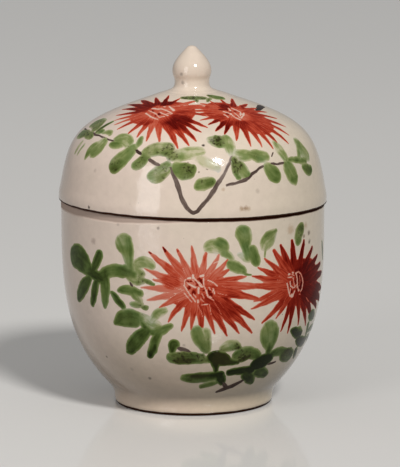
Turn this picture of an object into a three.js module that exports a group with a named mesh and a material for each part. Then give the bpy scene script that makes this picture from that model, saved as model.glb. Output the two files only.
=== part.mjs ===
// A small porcelain jar with a domed lid and a bud-shaped knob, in millimetres, +Z up.
// The jar is one turned pot with its foot ring. The lid is a turned dome, and its knob is a piece of its own,
// stuck with slip on the dome's flat top. The lid drops over the jar's upright collar and rests on the ledge
// round it. The origin is the middle of the foot's resting face.

import * as THREE from "three";

// Jar
const JAR_HEIGHT = 72; // up to the ledge that the lid rests on
const RIM_RADIUS = 46.75;
const FOOT_RADIUS = 28.3;
const FOOT_HEIGHT = 5;
const FOOT_RING_WIDTH = 2.9;
const FOOT_EDGE = 1.1; // how far the foot's lower edge is rounded in
const FOOT_HOLLOW = 2.4; // depth of the hollow inside the foot ring
const FOOT_RING_SLOPE = 1.2; // how far the ring's inside slopes in on its way up the hollow
const FLOOR_THICKNESS = 4.6;
const BELLY_FULLNESS = 3.75; // 1 is a cone from foot to rim, and more fills the belly out
const LEDGE_WIDTH = 2.6;
const LIP_ROUND = 0.7;
const LIP_DROP = 1.3;
const COLLAR_HEIGHT = 3.4;
const COLLAR_THICKNESS = 1.9;
const COLLAR_ROUND = 0.6;
const FLOOR_SWEEP = 6; // height of the round between the inside wall and the floor
const FLOOR_SWEEP_LEAN = 3; // where the round's pull lies, in from the wall
const FLOOR_SWEEP_REACH = 12; // where the round meets the flat floor, in from the wall

// Lid
const LID_CLEARANCE = 0.6; // round the collar
const LID_OVERHANG = 0.75; // past the jar's rim
const DOME_HEIGHT = 38.9; // from the ledge to the flat that the knob is stuck on
const DOME_WALL_LEAN = 3.6; // how far the wall's pull leans in, which rounds the side
const DOME_WALL_PULL = 24; // how far the wall's pull goes up, which fills the shoulder
const DOME_TOP_INSET = 5.6; // where the top's pull ends, in from the rim
const DOME_TOP_DROP = 10.6; // and below the flat
const DOME_THICKNESS = 3.4; // at the middle
const LID_EDGE_ROUND = 1;
const LID_EDGE_RISE = 2;

// Knob
const KNOB_SEAT_RADIUS = 10;
const KNOB_HEIGHT = 16.3;
const KNOB_EDGE = 0.3; // thickness of the thin edge of its flared foot
const FLARE_PULL = 3.3; // how far in the flare stays nearly flat
const FLARE_RISE = 0.44; // and how far it rises on the way
const NECK_RADIUS = 6.15;
const NECK_HEIGHT = 3.5;
const NECK_PULL = 1.75;
const BUD_RADIUS = 6.92;
const BUD_WIDEST_HEIGHT = 7.5;
const BUD_SIDE_PULL = 3;
const BUD_TIP_RADIUS = 1.5;
const BUD_TIP_DROP = 0.4; // from the top to where the taper becomes the tip's round

// Facets
const SIDES = 64;
const BELLY_STEPS = 16;
const STEP_CROWDING = 1.5; // over 1 sets the belly's steps closer together towards the foot
const DOME_STEPS = 16;
const ROUND_STEPS = 4;
const KNOB_STEPS = 6;

const COLOURS = { glaze: 0xdfd6ca };

// Places worked out from the sizes
const collarRadius = RIM_RADIUS - LEDGE_WIDTH;
const mouthRadius = collarRadius - COLLAR_THICKNESS;
const wall = LEDGE_WIDTH + COLLAR_THICKNESS;
const floorHeight = FOOT_HOLLOW + FLOOR_THICKNESS;
const lidRadius = RIM_RADIUS + LID_OVERHANG;
const lidMouthRadius = collarRadius + LID_CLEARANCE;

const at = (radius, height) => new THREE.Vector2(radius, height);

// The jar's outside radius at a height above the foot: steep at the rim, at about 45 degrees over the foot.
function bellyRadius(height) {
  const left = 1 - (height - FOOT_HEIGHT) / (JAR_HEIGHT - FOOT_HEIGHT);
  return RIM_RADIUS - (RIM_RADIUS - FOOT_RADIUS) * Math.pow(left, BELLY_FULLNESS);
}

// A dome's outline, from the top of its rounded edge to the knob's flat, which narrows the dome's middle.
function domeOutline(rimRadius, height) {
  return new THREE.CubicBezierCurve(
    at(rimRadius, LID_EDGE_RISE),
    at(rimRadius - DOME_WALL_LEAN, LID_EDGE_RISE + DOME_WALL_PULL),
    at(rimRadius - DOME_TOP_INSET, height - DOME_TOP_DROP),
    at(KNOB_SEAT_RADIUS, height),
  ).getPoints(DOME_STEPS);
}

// A quarter round from one corner point to another, bulging towards the corner.
function rounded(from, corner, to) {
  return new THREE.QuadraticBezierCurve(from, corner, to).getPoints(ROUND_STEPS);
}

// A solid of revolution about Z from an outline of (radius, height) points.
function turned(name, outline, z) {
  const points = outline.filter((p, i) => i === 0 || p.distanceTo(outline[i - 1]) > 1e-4);
  const geometry = new THREE.LatheGeometry(points, SIDES).rotateX(Math.PI / 2);
  const material = new THREE.MeshStandardMaterial({ color: COLOURS.glaze, roughness: 0.15, metalness: 0 });
  const mesh = new THREE.Mesh(geometry, material);
  mesh.name = name;
  mesh.position.z = z;
  return mesh;
}

function jarBody() {
  const ringInside = FOOT_RADIUS - FOOT_RING_WIDTH - FOOT_EDGE;
  const outline = [
    at(0, FOOT_HOLLOW),
    at(ringInside - FOOT_RING_SLOPE, FOOT_HOLLOW),
    at(ringInside, 0),
    ...rounded(at(FOOT_RADIUS - FOOT_EDGE, 0), at(FOOT_RADIUS, 0), at(FOOT_RADIUS, FOOT_HEIGHT / 2)),
  ];
  for (let i = 0; i <= BELLY_STEPS; i++) {
    const share = Math.pow(i / BELLY_STEPS, STEP_CROWDING);
    const height = FOOT_HEIGHT + (JAR_HEIGHT - LIP_DROP - FOOT_HEIGHT) * share;
    outline.push(at(bellyRadius(height), height));
  }
  outline.push(
    ...rounded(
      at(bellyRadius(JAR_HEIGHT - LIP_DROP), JAR_HEIGHT - LIP_DROP),
      at(RIM_RADIUS, JAR_HEIGHT),
      at(RIM_RADIUS - LIP_ROUND, JAR_HEIGHT),
    ),
    at(collarRadius, JAR_HEIGHT),
    ...rounded(
      at(collarRadius, JAR_HEIGHT + COLLAR_HEIGHT - COLLAR_ROUND),
      at(collarRadius, JAR_HEIGHT + COLLAR_HEIGHT),
      at(collarRadius - COLLAR_ROUND, JAR_HEIGHT + COLLAR_HEIGHT),
    ),
    ...rounded(
      at(mouthRadius + COLLAR_ROUND, JAR_HEIGHT + COLLAR_HEIGHT),
      at(mouthRadius, JAR_HEIGHT + COLLAR_HEIGHT),
      at(mouthRadius, JAR_HEIGHT + COLLAR_HEIGHT - COLLAR_ROUND),
    ),
  );
  const insideFoot = floorHeight + FLOOR_SWEEP;
  for (let i = BELLY_STEPS; i >= 0; i--) {
    const share = Math.pow(i / BELLY_STEPS, STEP_CROWDING);
    const height = insideFoot + (JAR_HEIGHT - insideFoot) * share;
    outline.push(at(bellyRadius(height) - wall, height));
  }
  const sweepRadius = bellyRadius(insideFoot) - wall;
  outline.push(
    ...rounded(
      at(sweepRadius, insideFoot),
      at(sweepRadius - FLOOR_SWEEP_LEAN, floorHeight),
      at(sweepRadius - FLOOR_SWEEP_REACH, floorHeight),
    ),
    at(0, floorHeight),
  );
  return turned("jar_body", outline, 0);
}

function lidDome() {
  const outside = domeOutline(lidRadius, DOME_HEIGHT);
  const inside = domeOutline(lidMouthRadius, DOME_HEIGHT - DOME_THICKNESS).reverse();
  const outline = [
    at(0, inside[0].y),
    ...inside,
    at(lidMouthRadius, 0),
    ...rounded(at(lidRadius - LID_EDGE_ROUND, 0), at(lidRadius, 0), outside[0]),
    ...outside,
    at(0, DOME_HEIGHT),
  ];
  return turned("lid_dome", outline, JAR_HEIGHT);
}

function lidKnob() {
  const tipHeight = KNOB_HEIGHT - BUD_TIP_DROP;
  const swellPull = (BUD_WIDEST_HEIGHT - NECK_HEIGHT) / 2;
  const taperPull = (tipHeight - BUD_WIDEST_HEIGHT - BUD_SIDE_PULL) / 2;
  const flare = new THREE.CubicBezierCurve(
    at(KNOB_SEAT_RADIUS, KNOB_EDGE),
    at(KNOB_SEAT_RADIUS - FLARE_PULL, KNOB_EDGE + FLARE_RISE),
    at(NECK_RADIUS, NECK_HEIGHT - NECK_PULL),
    at(NECK_RADIUS, NECK_HEIGHT),
  );
  const swell = new THREE.CubicBezierCurve(
    at(NECK_RADIUS, NECK_HEIGHT),
    at(NECK_RADIUS, NECK_HEIGHT + swellPull),
    at(BUD_RADIUS, BUD_WIDEST_HEIGHT - swellPull),
    at(BUD_RADIUS, BUD_WIDEST_HEIGHT),
  );
  const taper = new THREE.CubicBezierCurve(
    at(BUD_RADIUS, BUD_WIDEST_HEIGHT),
    at(BUD_RADIUS, BUD_WIDEST_HEIGHT + BUD_SIDE_PULL),
    at(BUD_TIP_RADIUS + taperPull, tipHeight - taperPull),
    at(BUD_TIP_RADIUS, tipHeight),
  );
  const tip = rounded(
    at(BUD_TIP_RADIUS, tipHeight),
    at(BUD_TIP_RADIUS / 2, KNOB_HEIGHT),
    at(0, KNOB_HEIGHT),
  );
  const outline = [
    at(0, 0),
    at(KNOB_SEAT_RADIUS, 0),
    ...flare.getPoints(KNOB_STEPS),
    ...swell.getPoints(KNOB_STEPS),
    ...taper.getPoints(KNOB_STEPS),
    ...tip,
  ];
  return turned("lid_knob", outline, JAR_HEIGHT + DOME_HEIGHT);
}

const jar = new THREE.Group();
jar.add(jarBody(), lidDome(), lidKnob());

export default jar;
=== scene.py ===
"""A small covered porcelain jar with painted chrysanthemums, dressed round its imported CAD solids.

The outlines of jar, lid and knob are walked along the CAD nodes' own meshes, made finer and spun.
The painting is laid on top as thin sheets of enamel, each cut to the brush strokes that make it up.
Lengths that end in _MM, and all places on the two canvases, are millimetres. Blender's own are metres.
"""

import math
from functools import partial

import bmesh
import bpy
import numpy as np
from bpy.props import FloatProperty, FloatVectorProperty, IntProperty, PointerProperty
from mathutils import Matrix, Vector


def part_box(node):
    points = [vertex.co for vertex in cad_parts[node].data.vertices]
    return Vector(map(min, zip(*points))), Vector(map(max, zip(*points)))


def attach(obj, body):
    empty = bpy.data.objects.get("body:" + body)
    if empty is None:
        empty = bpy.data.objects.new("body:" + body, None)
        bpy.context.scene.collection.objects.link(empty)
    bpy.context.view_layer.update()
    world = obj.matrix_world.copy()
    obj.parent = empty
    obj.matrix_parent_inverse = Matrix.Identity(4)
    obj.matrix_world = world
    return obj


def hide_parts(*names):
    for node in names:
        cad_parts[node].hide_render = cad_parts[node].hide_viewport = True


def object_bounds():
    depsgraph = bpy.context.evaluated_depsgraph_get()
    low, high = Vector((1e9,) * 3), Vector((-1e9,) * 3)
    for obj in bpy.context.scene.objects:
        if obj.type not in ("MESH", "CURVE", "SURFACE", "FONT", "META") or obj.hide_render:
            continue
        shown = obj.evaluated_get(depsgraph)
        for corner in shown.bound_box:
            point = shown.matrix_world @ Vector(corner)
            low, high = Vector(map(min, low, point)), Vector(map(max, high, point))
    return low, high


bl_info = {
    "name": "Painted covered jar",
    "version": (1, 0, 0),
    "blender": (4, 5, 0),
    "location": "3D Viewport > Sidebar > Covered jar",
    "description": "Glazed porcelain, overglaze enamels and a studio for a small covered jar",
    "category": "Add Mesh",
}

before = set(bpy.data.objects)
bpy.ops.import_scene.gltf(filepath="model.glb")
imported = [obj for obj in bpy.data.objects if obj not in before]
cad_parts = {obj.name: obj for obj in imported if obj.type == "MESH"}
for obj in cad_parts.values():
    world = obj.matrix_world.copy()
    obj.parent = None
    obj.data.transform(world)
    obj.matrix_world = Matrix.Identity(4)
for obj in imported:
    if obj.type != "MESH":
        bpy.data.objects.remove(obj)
CAD_BOX = [list(corner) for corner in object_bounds()]
CAD_MIDDLE = (Vector(CAD_BOX[0]) + Vector(CAD_BOX[1])) / 2
SEAM_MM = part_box("lid_dome")[0].z * 1000

MM = 0.001

# Where the painting starts on the jar, up from the table, and how its canvas is rolled round the wall
PAINTED_FROM_MM = 5.0
WRAP_RADIUS_MM = 47.0

# The jar's painting. A flower is its centre and its petals' tips, each (across, up, bend, darkness), and if
# it is blunt its half width. A scratch through it is (across, up) at both ends, then its half width.
JAR_LEFT_CENTRE = (1.5, 48.3)
JAR_LEFT_TIPS = (
    (-0.3, 63.2, 0.0, 0.35), (4.7, 62.0, -0.3, 0.35), (9.2, 60.2, -0.5, 0.30), (12.6, 58.4, -0.5, 0.35),
    (13.6, 55.3, 0.0, 0.40), (18.8, 51.9, 0.3, 0.45), (26.5, 47.6, 0.8, 0.40), (25.2, 42.8, 0.8, 0.50),
    (22.8, 36.2, 0.6, 0.60), (22.3, 31.2, 0.9, 0.55), (17.2, 31.5, 0.6, 0.60), (12.6, 30.9, 0.4, 0.55),
    (7.8, 32.0, 0.3, 0.50), (3.1, 31.4, 0.2, 0.57), (-0.8, 33.5, 0.0, 0.45), (-4.2, 33.2, -0.3, 0.45),
    (-9.0, 36.4, -0.6, 0.47), (-12.0, 41.4, -0.3, 0.33), (-16.4, 43.9, 0.0, 0.23),
    (-18.4, 48.2, 0.0, 0.19), (-14.0, 51.3, 0.0, 0.31), (-17.3, 55.1, 0.3, 0.27),
    (-15.4, 60.8, 0.3, 0.33), (-10.4, 62.5, 0.2, 0.37), (-5.3, 62.1, 0.2, 0.33),
)
JAR_LEFT_SCRATCHES = (
    (0.0, 52.9, 1.2, 51.0, 0.38), (1.2, 51.0, 2.4, 49.3, 0.38), (-1.9, 52.0, -0.9, 52.1, 0.43),
    (-2.6, 51.6, -2.9, 49.4, 0.26), (-1.3, 49.8, 0.9, 48.7, 0.38), (-3.1, 49.3, -1.5, 47.0, 0.33),
    (-1.5, 47.0, 0.0, 44.9, 0.33), (-3.1, 46.9, -1.6, 45.0, 0.28), (-1.6, 45.0, -0.4, 43.6, 0.28),
    (-0.7, 46.2, 0.9, 43.6, 0.30), (3.6, 51.8, 3.8, 49.1, 0.33), (4.0, 48.7, 5.1, 45.6, 0.33),
    (5.1, 45.6, 7.3, 44.2, 0.30), (5.1, 51.3, 7.1, 50.4, 0.30), (7.1, 50.4, 8.4, 49.1, 0.30),
    (7.1, 48.2, 7.6, 46.4, 0.33), (5.6, 48.7, 6.0, 47.8, 0.28), (3.1, 42.6, 5.1, 42.7, 0.28),
    (0.0, 52.2, 0.1, 53.0, 0.53), (2.7, 52.7, 3.4, 52.8, 0.58), (2.8, 49.2, 3.1, 49.1, 0.53),
    (1.9, 48.6, 1.9, 46.8, 0.43), (4.7, 47.6, 4.8, 46.6, 0.43), (5.9, 45.5, 6.4, 45.2, 0.43),
    (1.7, 44.1, 1.8, 43.5, 0.43), (5.6, 42.9, 6.4, 39.1, 0.16), (1.8, 42.4, 3.3, 38.4, 0.16),
    (7.3, 43.8, 10.0, 38.9, 0.16), (8.4, 46.7, 12.0, 45.6, 0.18), (7.3, 57.1, 9.3, 58.0, 0.20),
    (-2.1, 50.6, -1.0, 49.4, 0.26), (-0.2, 51.4, 0.6, 50.2, 0.26), (2.0, 50.6, 2.9, 49.8, 0.28),
    (0.2, 46.6, 1.0, 45.4, 0.26), (3.0, 46.4, 3.8, 45.0, 0.26), (2.6, 44.6, 3.6, 43.8, 0.24),
    (4.9, 46.6, 5.6, 45.6, 0.24), (6.7, 47.6, 7.0, 46.8, 0.24), (-2.4, 48.6, -1.8, 47.6, 0.24),
)
JAR_RIGHT_CENTRE = (40.8, 47.0)
# The petals' darkness rises towards this flower's right side, partly for deep red and partly as painted
# shade.
JAR_RIGHT_TIPS = (
    (38.7, 62.2, 0.0, 0.80, 0.80), (33.2, 61.2, 0.2, 0.70, 0.70), (30.1, 59.8, 0.3, 0.57, 0.70),
    (26.2, 57.5, 0.5, 0.53), (23.4, 54.6, 0.3, 0.53), (21.3, 51.8, 0.2, 0.53), (18.8, 48.6, 0.2, 0.47),
    (22.3, 42.8, -0.2, 0.47), (21.3, 40.2, 0.2, 0.47), (26.2, 34.5, 0.4, 0.57), (32.5, 35.6, 0.3, 0.55),
    (36.0, 30.2, 0.2, 0.72), (40.4, 29.0, 0.0, 0.72), (46.3, 31.2, 0.3, 0.70), (52.9, 29.9, 0.3, 0.75),
    (55.9, 33.2, 0.4, 0.88, 0.75), (61.5, 35.3, 0.4, 0.95, 0.75), (66.4, 37.1, 0.3, 0.98, 0.75),
    (66.4, 41.2, 0.2, 0.98, 0.75), (64.0, 47.3, 0.0, 1.00, 0.75), (60.7, 51.1, -0.2, 0.98, 0.75),
    (56.4, 54.6, -0.3, 0.92, 0.75), (51.6, 58.2, -0.2, 0.88, 0.75), (45.6, 61.3, -0.1, 0.88, 0.70),
)
JAR_RIGHT_SCRATCHES = (
    (39.6, 49.2, 40.3, 47.2, 0.30), (40.3, 47.2, 40.9, 45.4, 0.28), (38.9, 50.6, 40.2, 49.8, 0.28),
    (43.2, 49.4, 43.6, 47.6, 0.24), (43.6, 47.6, 43.4, 45.6, 0.22), (36.9, 46.4, 37.7, 44.2, 0.26),
    (36.7, 49.8, 39.3, 49.6, 0.30), (37.2, 50.7, 37.7, 50.7, 0.48), (39.0, 51.2, 39.5, 51.1, 0.43),
    (40.7, 50.4, 42.4, 50.9, 0.36), (42.4, 50.9, 44.0, 50.0, 0.36), (44.0, 50.0, 45.1, 48.4, 0.38),
    (45.1, 48.4, 45.7, 46.7, 0.46), (45.7, 46.7, 45.3, 44.4, 0.46), (45.3, 44.4, 44.4, 43.6, 0.36),
    (40.9, 50.7, 41.8, 48.7, 0.43), (41.8, 48.7, 42.2, 46.2, 0.43), (42.2, 46.2, 42.9, 44.0, 0.38),
    (36.4, 47.6, 37.3, 45.1, 0.40), (37.3, 45.1, 38.2, 43.1, 0.43), (38.2, 43.1, 39.6, 42.3, 0.48),
    (38.0, 48.0, 38.4, 46.4, 0.43), (38.4, 46.4, 40.2, 45.6, 0.38), (40.2, 45.6, 41.8, 46.4, 0.36),
    (38.4, 45.3, 38.0, 43.3, 0.36), (39.4, 43.1, 39.9, 42.8, 0.68), (40.9, 44.2, 40.0, 42.7, 0.43),
    (41.8, 45.6, 43.6, 44.0, 0.36), (43.6, 42.9, 44.4, 42.7, 0.23), (48.7, 40.9, 51.3, 38.9, 0.23),
)

# The lid's painting, on a canvas that is flat round its axis: across to the right, and towards the back
LID_LEFT_CENTRE = (-12.0, -21.5)
LID_LEFT_TIPS = (
    (-12.9, -6.5, 0.0, 0.80), (-18.4, -2.8, 0.3, 0.85), (-23.4, -2.0, 0.4, 0.85),
    (-25.3, -7.0, 0.3, 0.75), (-27.6, -12.3, 0.2, 0.60), (-28.5, -17.0, 0.0, 0.40),
    (-28.3, -21.0, 0.0, 0.40), (-27.4, -25.5, 0.0, 0.50), (-23.8, -31.2, 0.3, 0.55),
    (-20.2, -34.6, 0.2, 0.50), (-16.8, -38.0, 0.1, 0.40), (-12.1, -40.2, 0.0, 0.47),
    (-5.3, -44.0, -0.2, 0.55), (-1.3, -43.2, -0.2, 0.60), (1.5, -41.2, -0.3, 0.63),
    (3.1, -36.8, -0.3, 0.65), (5.4, -34.0, -0.3, 0.63), (5.6, -26.3, 0.3, 0.57),
    (3.2, -21.0, 0.3, 0.43), (4.5, -18.0, 0.0, 0.35), (5.4, -19.6, 0.0, 0.41, 0.60),
    (2.0, -15.0, 0.0, 0.39), (-4.5, -12.8, 0.2, 0.65), (-8.3, -8.5, 0.0, 0.75),
)
LID_LEFT_SCRATCHES = (
    (-16.6, -19.9, -15.0, -23.9, 0.42), (-15.0, -23.9, -13.8, -25.3, 0.40),
    (-13.8, -25.3, -12.3, -26.8, 0.34), (-15.8, -18.2, -13.8, -21.0, 0.30),
    (-13.8, -21.0, -12.7, -22.8, 0.34), (-12.7, -22.8, -11.9, -24.9, 0.28),
    (-14.2, -17.2, -11.7, -18.9, 0.56), (-11.2, -18.9, -8.8, -21.4, 0.40),
    (-8.8, -21.4, -7.1, -24.1, 0.40), (-11.5, -21.8, -10.0, -23.7, 0.34),
    (-10.0, -23.7, -8.8, -25.3, 0.38), (-8.3, -18.0, -7.5, -19.9, 0.42),
    (-7.5, -19.9, -6.5, -21.8, 0.54), (-10.2, -17.5, -9.8, -17.8, 0.42),
    (-11.7, -25.5, -10.0, -25.5, 0.36), (-9.2, -23.3, -7.5, -24.5, 0.30),
)
LID_RIGHT_CENTRE = (15.2, -21.5)
LID_RIGHT_TIPS = (
    (14.4, -7.0, 0.0, 0.70), (20.0, -7.8, 0.2, 0.57), (23.8, -9.0, 0.2, 0.57), (27.3, -9.5, 0.2, 0.57),
    (31.0, -12.4, 0.2, 0.60), (34.6, -16.6, 0.1, 0.55), (36.0, -21.5, 0.0, 0.55),
    (36.4, -26.6, -0.2, 0.55), (32.6, -31.0, -0.2, 0.60), (30.6, -34.6, -0.2, 0.53),
    (26.2, -36.6, -0.2, 0.53), (21.9, -38.7, -0.1, 0.61), (16.4, -38.2, 0.0, 0.53),
    (11.7, -36.6, 0.1, 0.65), (8.6, -35.5, 0.1, 0.60), (5.9, -32.0, 0.2, 0.57), (3.0, -29.5, 0.3, 0.53),
    (1.0, -25.4, 0.2, 0.53), (0.0, -22.9, 0.0, 0.47, 0.45), (1.5, -20.5, 0.0, 0.47),
    (3.0, -16.8, 0.0, 0.43), (6.5, -14.3, 0.2, 0.51), (10.2, -10.8, 0.1, 0.61),
)
LID_RIGHT_SCRATCHES = (
    (11.4, -21.4, 13.1, -21.8, 0.42), (13.1, -21.8, 14.3, -23.0, 0.38),
    (11.4, -23.7, 12.9, -25.3, 0.42), (14.3, -17.2, 16.4, -18.5, 0.44),
    (16.4, -18.5, 17.3, -18.9, 0.42), (13.1, -18.0, 13.7, -19.7, 0.46),
    (15.2, -20.8, 16.2, -22.2, 0.36), (16.2, -22.2, 17.0, -23.9, 0.34),
    (13.9, -21.8, 14.8, -23.7, 0.34), (14.8, -23.7, 16.0, -24.9, 0.34),
    (17.3, -18.9, 17.4, -22.4, 0.34), (18.5, -18.9, 18.5, -21.4, 0.42),
    (18.5, -21.4, 17.5, -23.9, 0.38), (16.0, -24.9, 17.3, -25.3, 0.40),
    (17.9, -20.2, 17.9, -20.5, 0.52),
)

# The solid middle of each flower, a stroke as the leaves' are
JAR_LEFT_HEART = (-3.6, 48.6, 6.4, 1.2, 48.2, 7.4, 6.2, 46.8, 6.8, 0.42)
JAR_RIGHT_HEART = (38.0, 47.2, 7.4, 42.5, 47.0, 8.4, 48.5, 46.4, 8.4, 0.66)
LID_LEFT_HEART = (-15.0, -20.8, 7.8, -11.5, -22.0, 8.9, -7.0, -24.0, 8.4, 0.52)
LID_RIGHT_HEART = (11.5, -21.5, 7.6, 15.5, -22.2, 8.6, 21.5, -23.4, 8.4, 0.54)

# Blots that run into a flower: (across, up, radius, darkness). The darkness is kept over half the radius.
JAR_LEFT_BLOTS = (
    (13.8, 41.8, 5.0, 0.66), (-7.6, 51.2, 4.0, 0.50), (-8.4, 55.6, 2.4, 0.48), (-5.0, 41.0, 4.0, 0.52),
    (2.2, 38.6, 2.6, 0.54), (-1.9, 50.7, 0.7, 0.78), (-0.9, 50.9, 0.6, 0.72), (0.4, 50.4, 0.8, 0.84),
    (1.2, 49.5, 0.8, 0.78), (2.3, 51.5, 0.7, 0.76), (3.0, 50.6, 0.8, 0.80), (-0.9, 48.6, 0.7, 0.74),
    (-1.9, 48.2, 0.6, 0.68), (0.6, 47.2, 0.7, 0.74), (3.3, 47.3, 0.8, 0.78), (2.8, 45.6, 0.7, 0.66),
    (5.7, 47.0, 0.8, 0.82), (6.5, 46.1, 0.8, 0.80), (0.0, 45.8, 0.6, 0.66), (-15.3, 60.6, 0.9, 0.95),
    (-10.4, 61.8, 1.2, 0.98), (-5.2, 61.7, 0.8, 0.70), (4.5, 61.7, 0.8, 0.70),
)
# The wide dark blot on this flower's right side is partly pooled red and partly painted shade.
JAR_RIGHT_BLOTS_AND_SHADE = (
    (52.0, 46.6, 7.6, 0.86), (42.6, 54.4, 3.4, 0.74), (47.4, 56.4, 3.6, 0.80), (39.7, 49.8, 0.8, 0.90),
    (41.8, 49.6, 0.8, 0.90), (40.8, 47.8, 0.9, 0.90), (40.9, 45.8, 0.9, 0.90), (39.3, 44.6, 0.9, 0.90),
    (42.2, 44.4, 0.8, 0.90), (43.5, 47.8, 2.0, 0.85), (44.2, 44.6, 0.7, 0.90), (39.2, 47.2, 0.8, 0.80),
    (37.5, 46.2, 0.6, 0.80), (41.1, 43.1, 0.6, 0.80), (33.3, 60.9, 1.2, 0.78), (38.8, 61.8, 1.2, 0.82),
    (45.5, 61.0, 1.2, 0.92), (50.4, 57.3, 1.2, 0.95),
)
LID_LEFT_BLOTS = (
    (-11.8, -21.2, 7.5, 0.36), (-4.5, -30.6, 5.8, 0.86), (-18.6, -12.4, 6.5, 0.82),
    (-9.0, -13.6, 4.0, 0.86), (-16.5, -27.5, 3.0, 0.64), (-11.7, -23.0, 0.8, 0.85),
    (-12.9, -24.1, 0.7, 0.75), (-14.4, -19.4, 0.6, 0.75), (-12.2, -17.8, 0.5, 0.65),
    (-14.2, -22.6, 0.8, 0.60), (-9.4, -22.5, 0.6, 0.60), (-9.8, -20.0, 0.6, 0.48),
)
LID_RIGHT_BLOTS = (
    (15.2, -21.4, 7.0, 0.36), (10.4, -32.6, 5.2, 0.88), (18.0, -28.5, 4.0, 0.66),
    (11.7, -17.4, 3.0, 0.84), (10.6, -20.4, 1.3, 0.88), (12.0, -19.7, 0.9, 0.88),
    (12.9, -23.0, 1.1, 0.72), (13.5, -20.5, 0.7, 0.70), (15.8, -19.9, 0.9, 0.62),
    (16.2, -23.6, 0.7, 0.60), (18.4, -13.4, 1.4, 0.74),
)

# Leaves: each stroke is (across, up, half width) at its start, middle and end, then its darkness
JAR_LEAVES_LEFT = (
    (-25.0, 54.2, 1.6, -21.6, 54.0, 2.2, -18.4, 52.8, 1.6, 0.30),
    (-22.8, 51.6, 1.5, -20.6, 50.6, 1.9, -18.4, 50.8, 1.3, 0.24),
    (-22.4, 47.0, 1.2, -20.8, 45.0, 1.6, -19.0, 43.6, 1.2, 0.30),
    (-20.4, 55.8, 1.8, -17.4, 57.0, 2.2, -14.6, 56.2, 1.9, 0.18),
    (-20.6, 54.6, 1.6, -19.4, 52.6, 2.0, -18.0, 50.6, 1.3, 0.18),
    (-18.5, 56.7, 0.6, -17.6, 56.6, 0.8, -16.6, 56.2, 0.6, 0.40),
    (-19.0, 51.2, 0.6, -16.4, 50.6, 0.9, -13.8, 49.5, 0.7, 0.60),
    (-22.6, 54.8, 1.7, -23.4, 59.6, 2.5, -24.8, 63.0, 3.8, 0.30),
    (-22.2, 55.0, 1.2, -22.4, 60.0, 1.3, -22.9, 64.6, 1.4, 0.42),
    (-36.6, 49.6, 1.9, -31.0, 52.8, 2.4, -25.6, 53.3, 2.4, 0.50),
    (-25.4, 53.4, 1.9, -23.2, 52.8, 1.9, -21.0, 52.4, 1.5, 0.58),
    (-41.0, 51.5, 2.2, -46.5, 55.2, 4.7, -50.8, 55.4, 4.2, 0.60),
    (-39.0, 52.5, 1.6, -37.0, 56.0, 2.0, -35.8, 58.0, 2.0, 0.62),
    (-41.5, 49.0, 1.6, -46.3, 44.7, 2.7, -50.2, 40.6, 1.5, 0.68),
    (-37.8, 48.2, 1.5, -39.5, 43.8, 1.8, -41.0, 40.0, 1.3, 0.62),
    (-33.6, 49.5, 2.3, -33.8, 45.0, 2.3, -34.4, 40.2, 1.1, 0.56),
    (-41.5, 51.0, 1.8, -38.8, 50.8, 2.0, -35.6, 49.8, 2.0, 0.70),
    (-27.4, 46.4, 0.9, -23.6, 46.9, 1.8, -19.2, 46.0, 1.6, 0.46),
    (-20.6, 45.6, 1.2, -19.4, 43.8, 1.2, -18.6, 42.4, 1.0, 0.20),
    (-22.4, 42.0, 0.9, -20.2, 41.9, 1.2, -18.4, 42.3, 0.9, 0.28),
    (-18.4, 41.2, 0.7, -17.4, 41.0, 1.0, -16.4, 41.2, 0.7, 0.50),
    (-30.6, 45.2, 0.9, -28.6, 43.4, 1.5, -26.2, 41.0, 1.3, 0.66),
    (-18.6, 37.4, 1.9, -15.6, 35.8, 2.3, -12.8, 34.5, 1.9, 0.16),
    (-14.8, 37.0, 1.3, -12.3, 39.3, 1.8, -10.0, 40.6, 1.3, 0.20),
    (-24.8, 38.6, 1.8, -22.2, 38.2, 2.2, -19.2, 37.2, 1.7, 0.40),
    (-30.2, 34.3, 1.0, -26.4, 36.4, 3.1, -22.0, 36.4, 3.0, 0.50),
    (-19.3, 36.2, 0.8, -17.6, 33.8, 1.4, -15.6, 32.4, 1.2, 0.60),
    (-15.5, 32.3, 1.4, -12.3, 32.8, 1.9, -8.0, 35.0, 1.1, 0.44),
    (-17.0, 32.8, 1.7, -21.8, 28.6, 3.0, -25.8, 24.5, 2.0, 0.62),
    (-27.2, 23.4, 0.7, -25.8, 23.7, 1.1, -24.0, 24.4, 1.0, 0.80),
    (-13.0, 31.2, 1.6, -14.8, 28.0, 2.0, -16.0, 25.0, 1.9, 0.50),
    (-14.9, 27.0, 1.1, -16.1, 24.8, 1.7, -17.6, 22.8, 1.2, 0.95),
)
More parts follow.
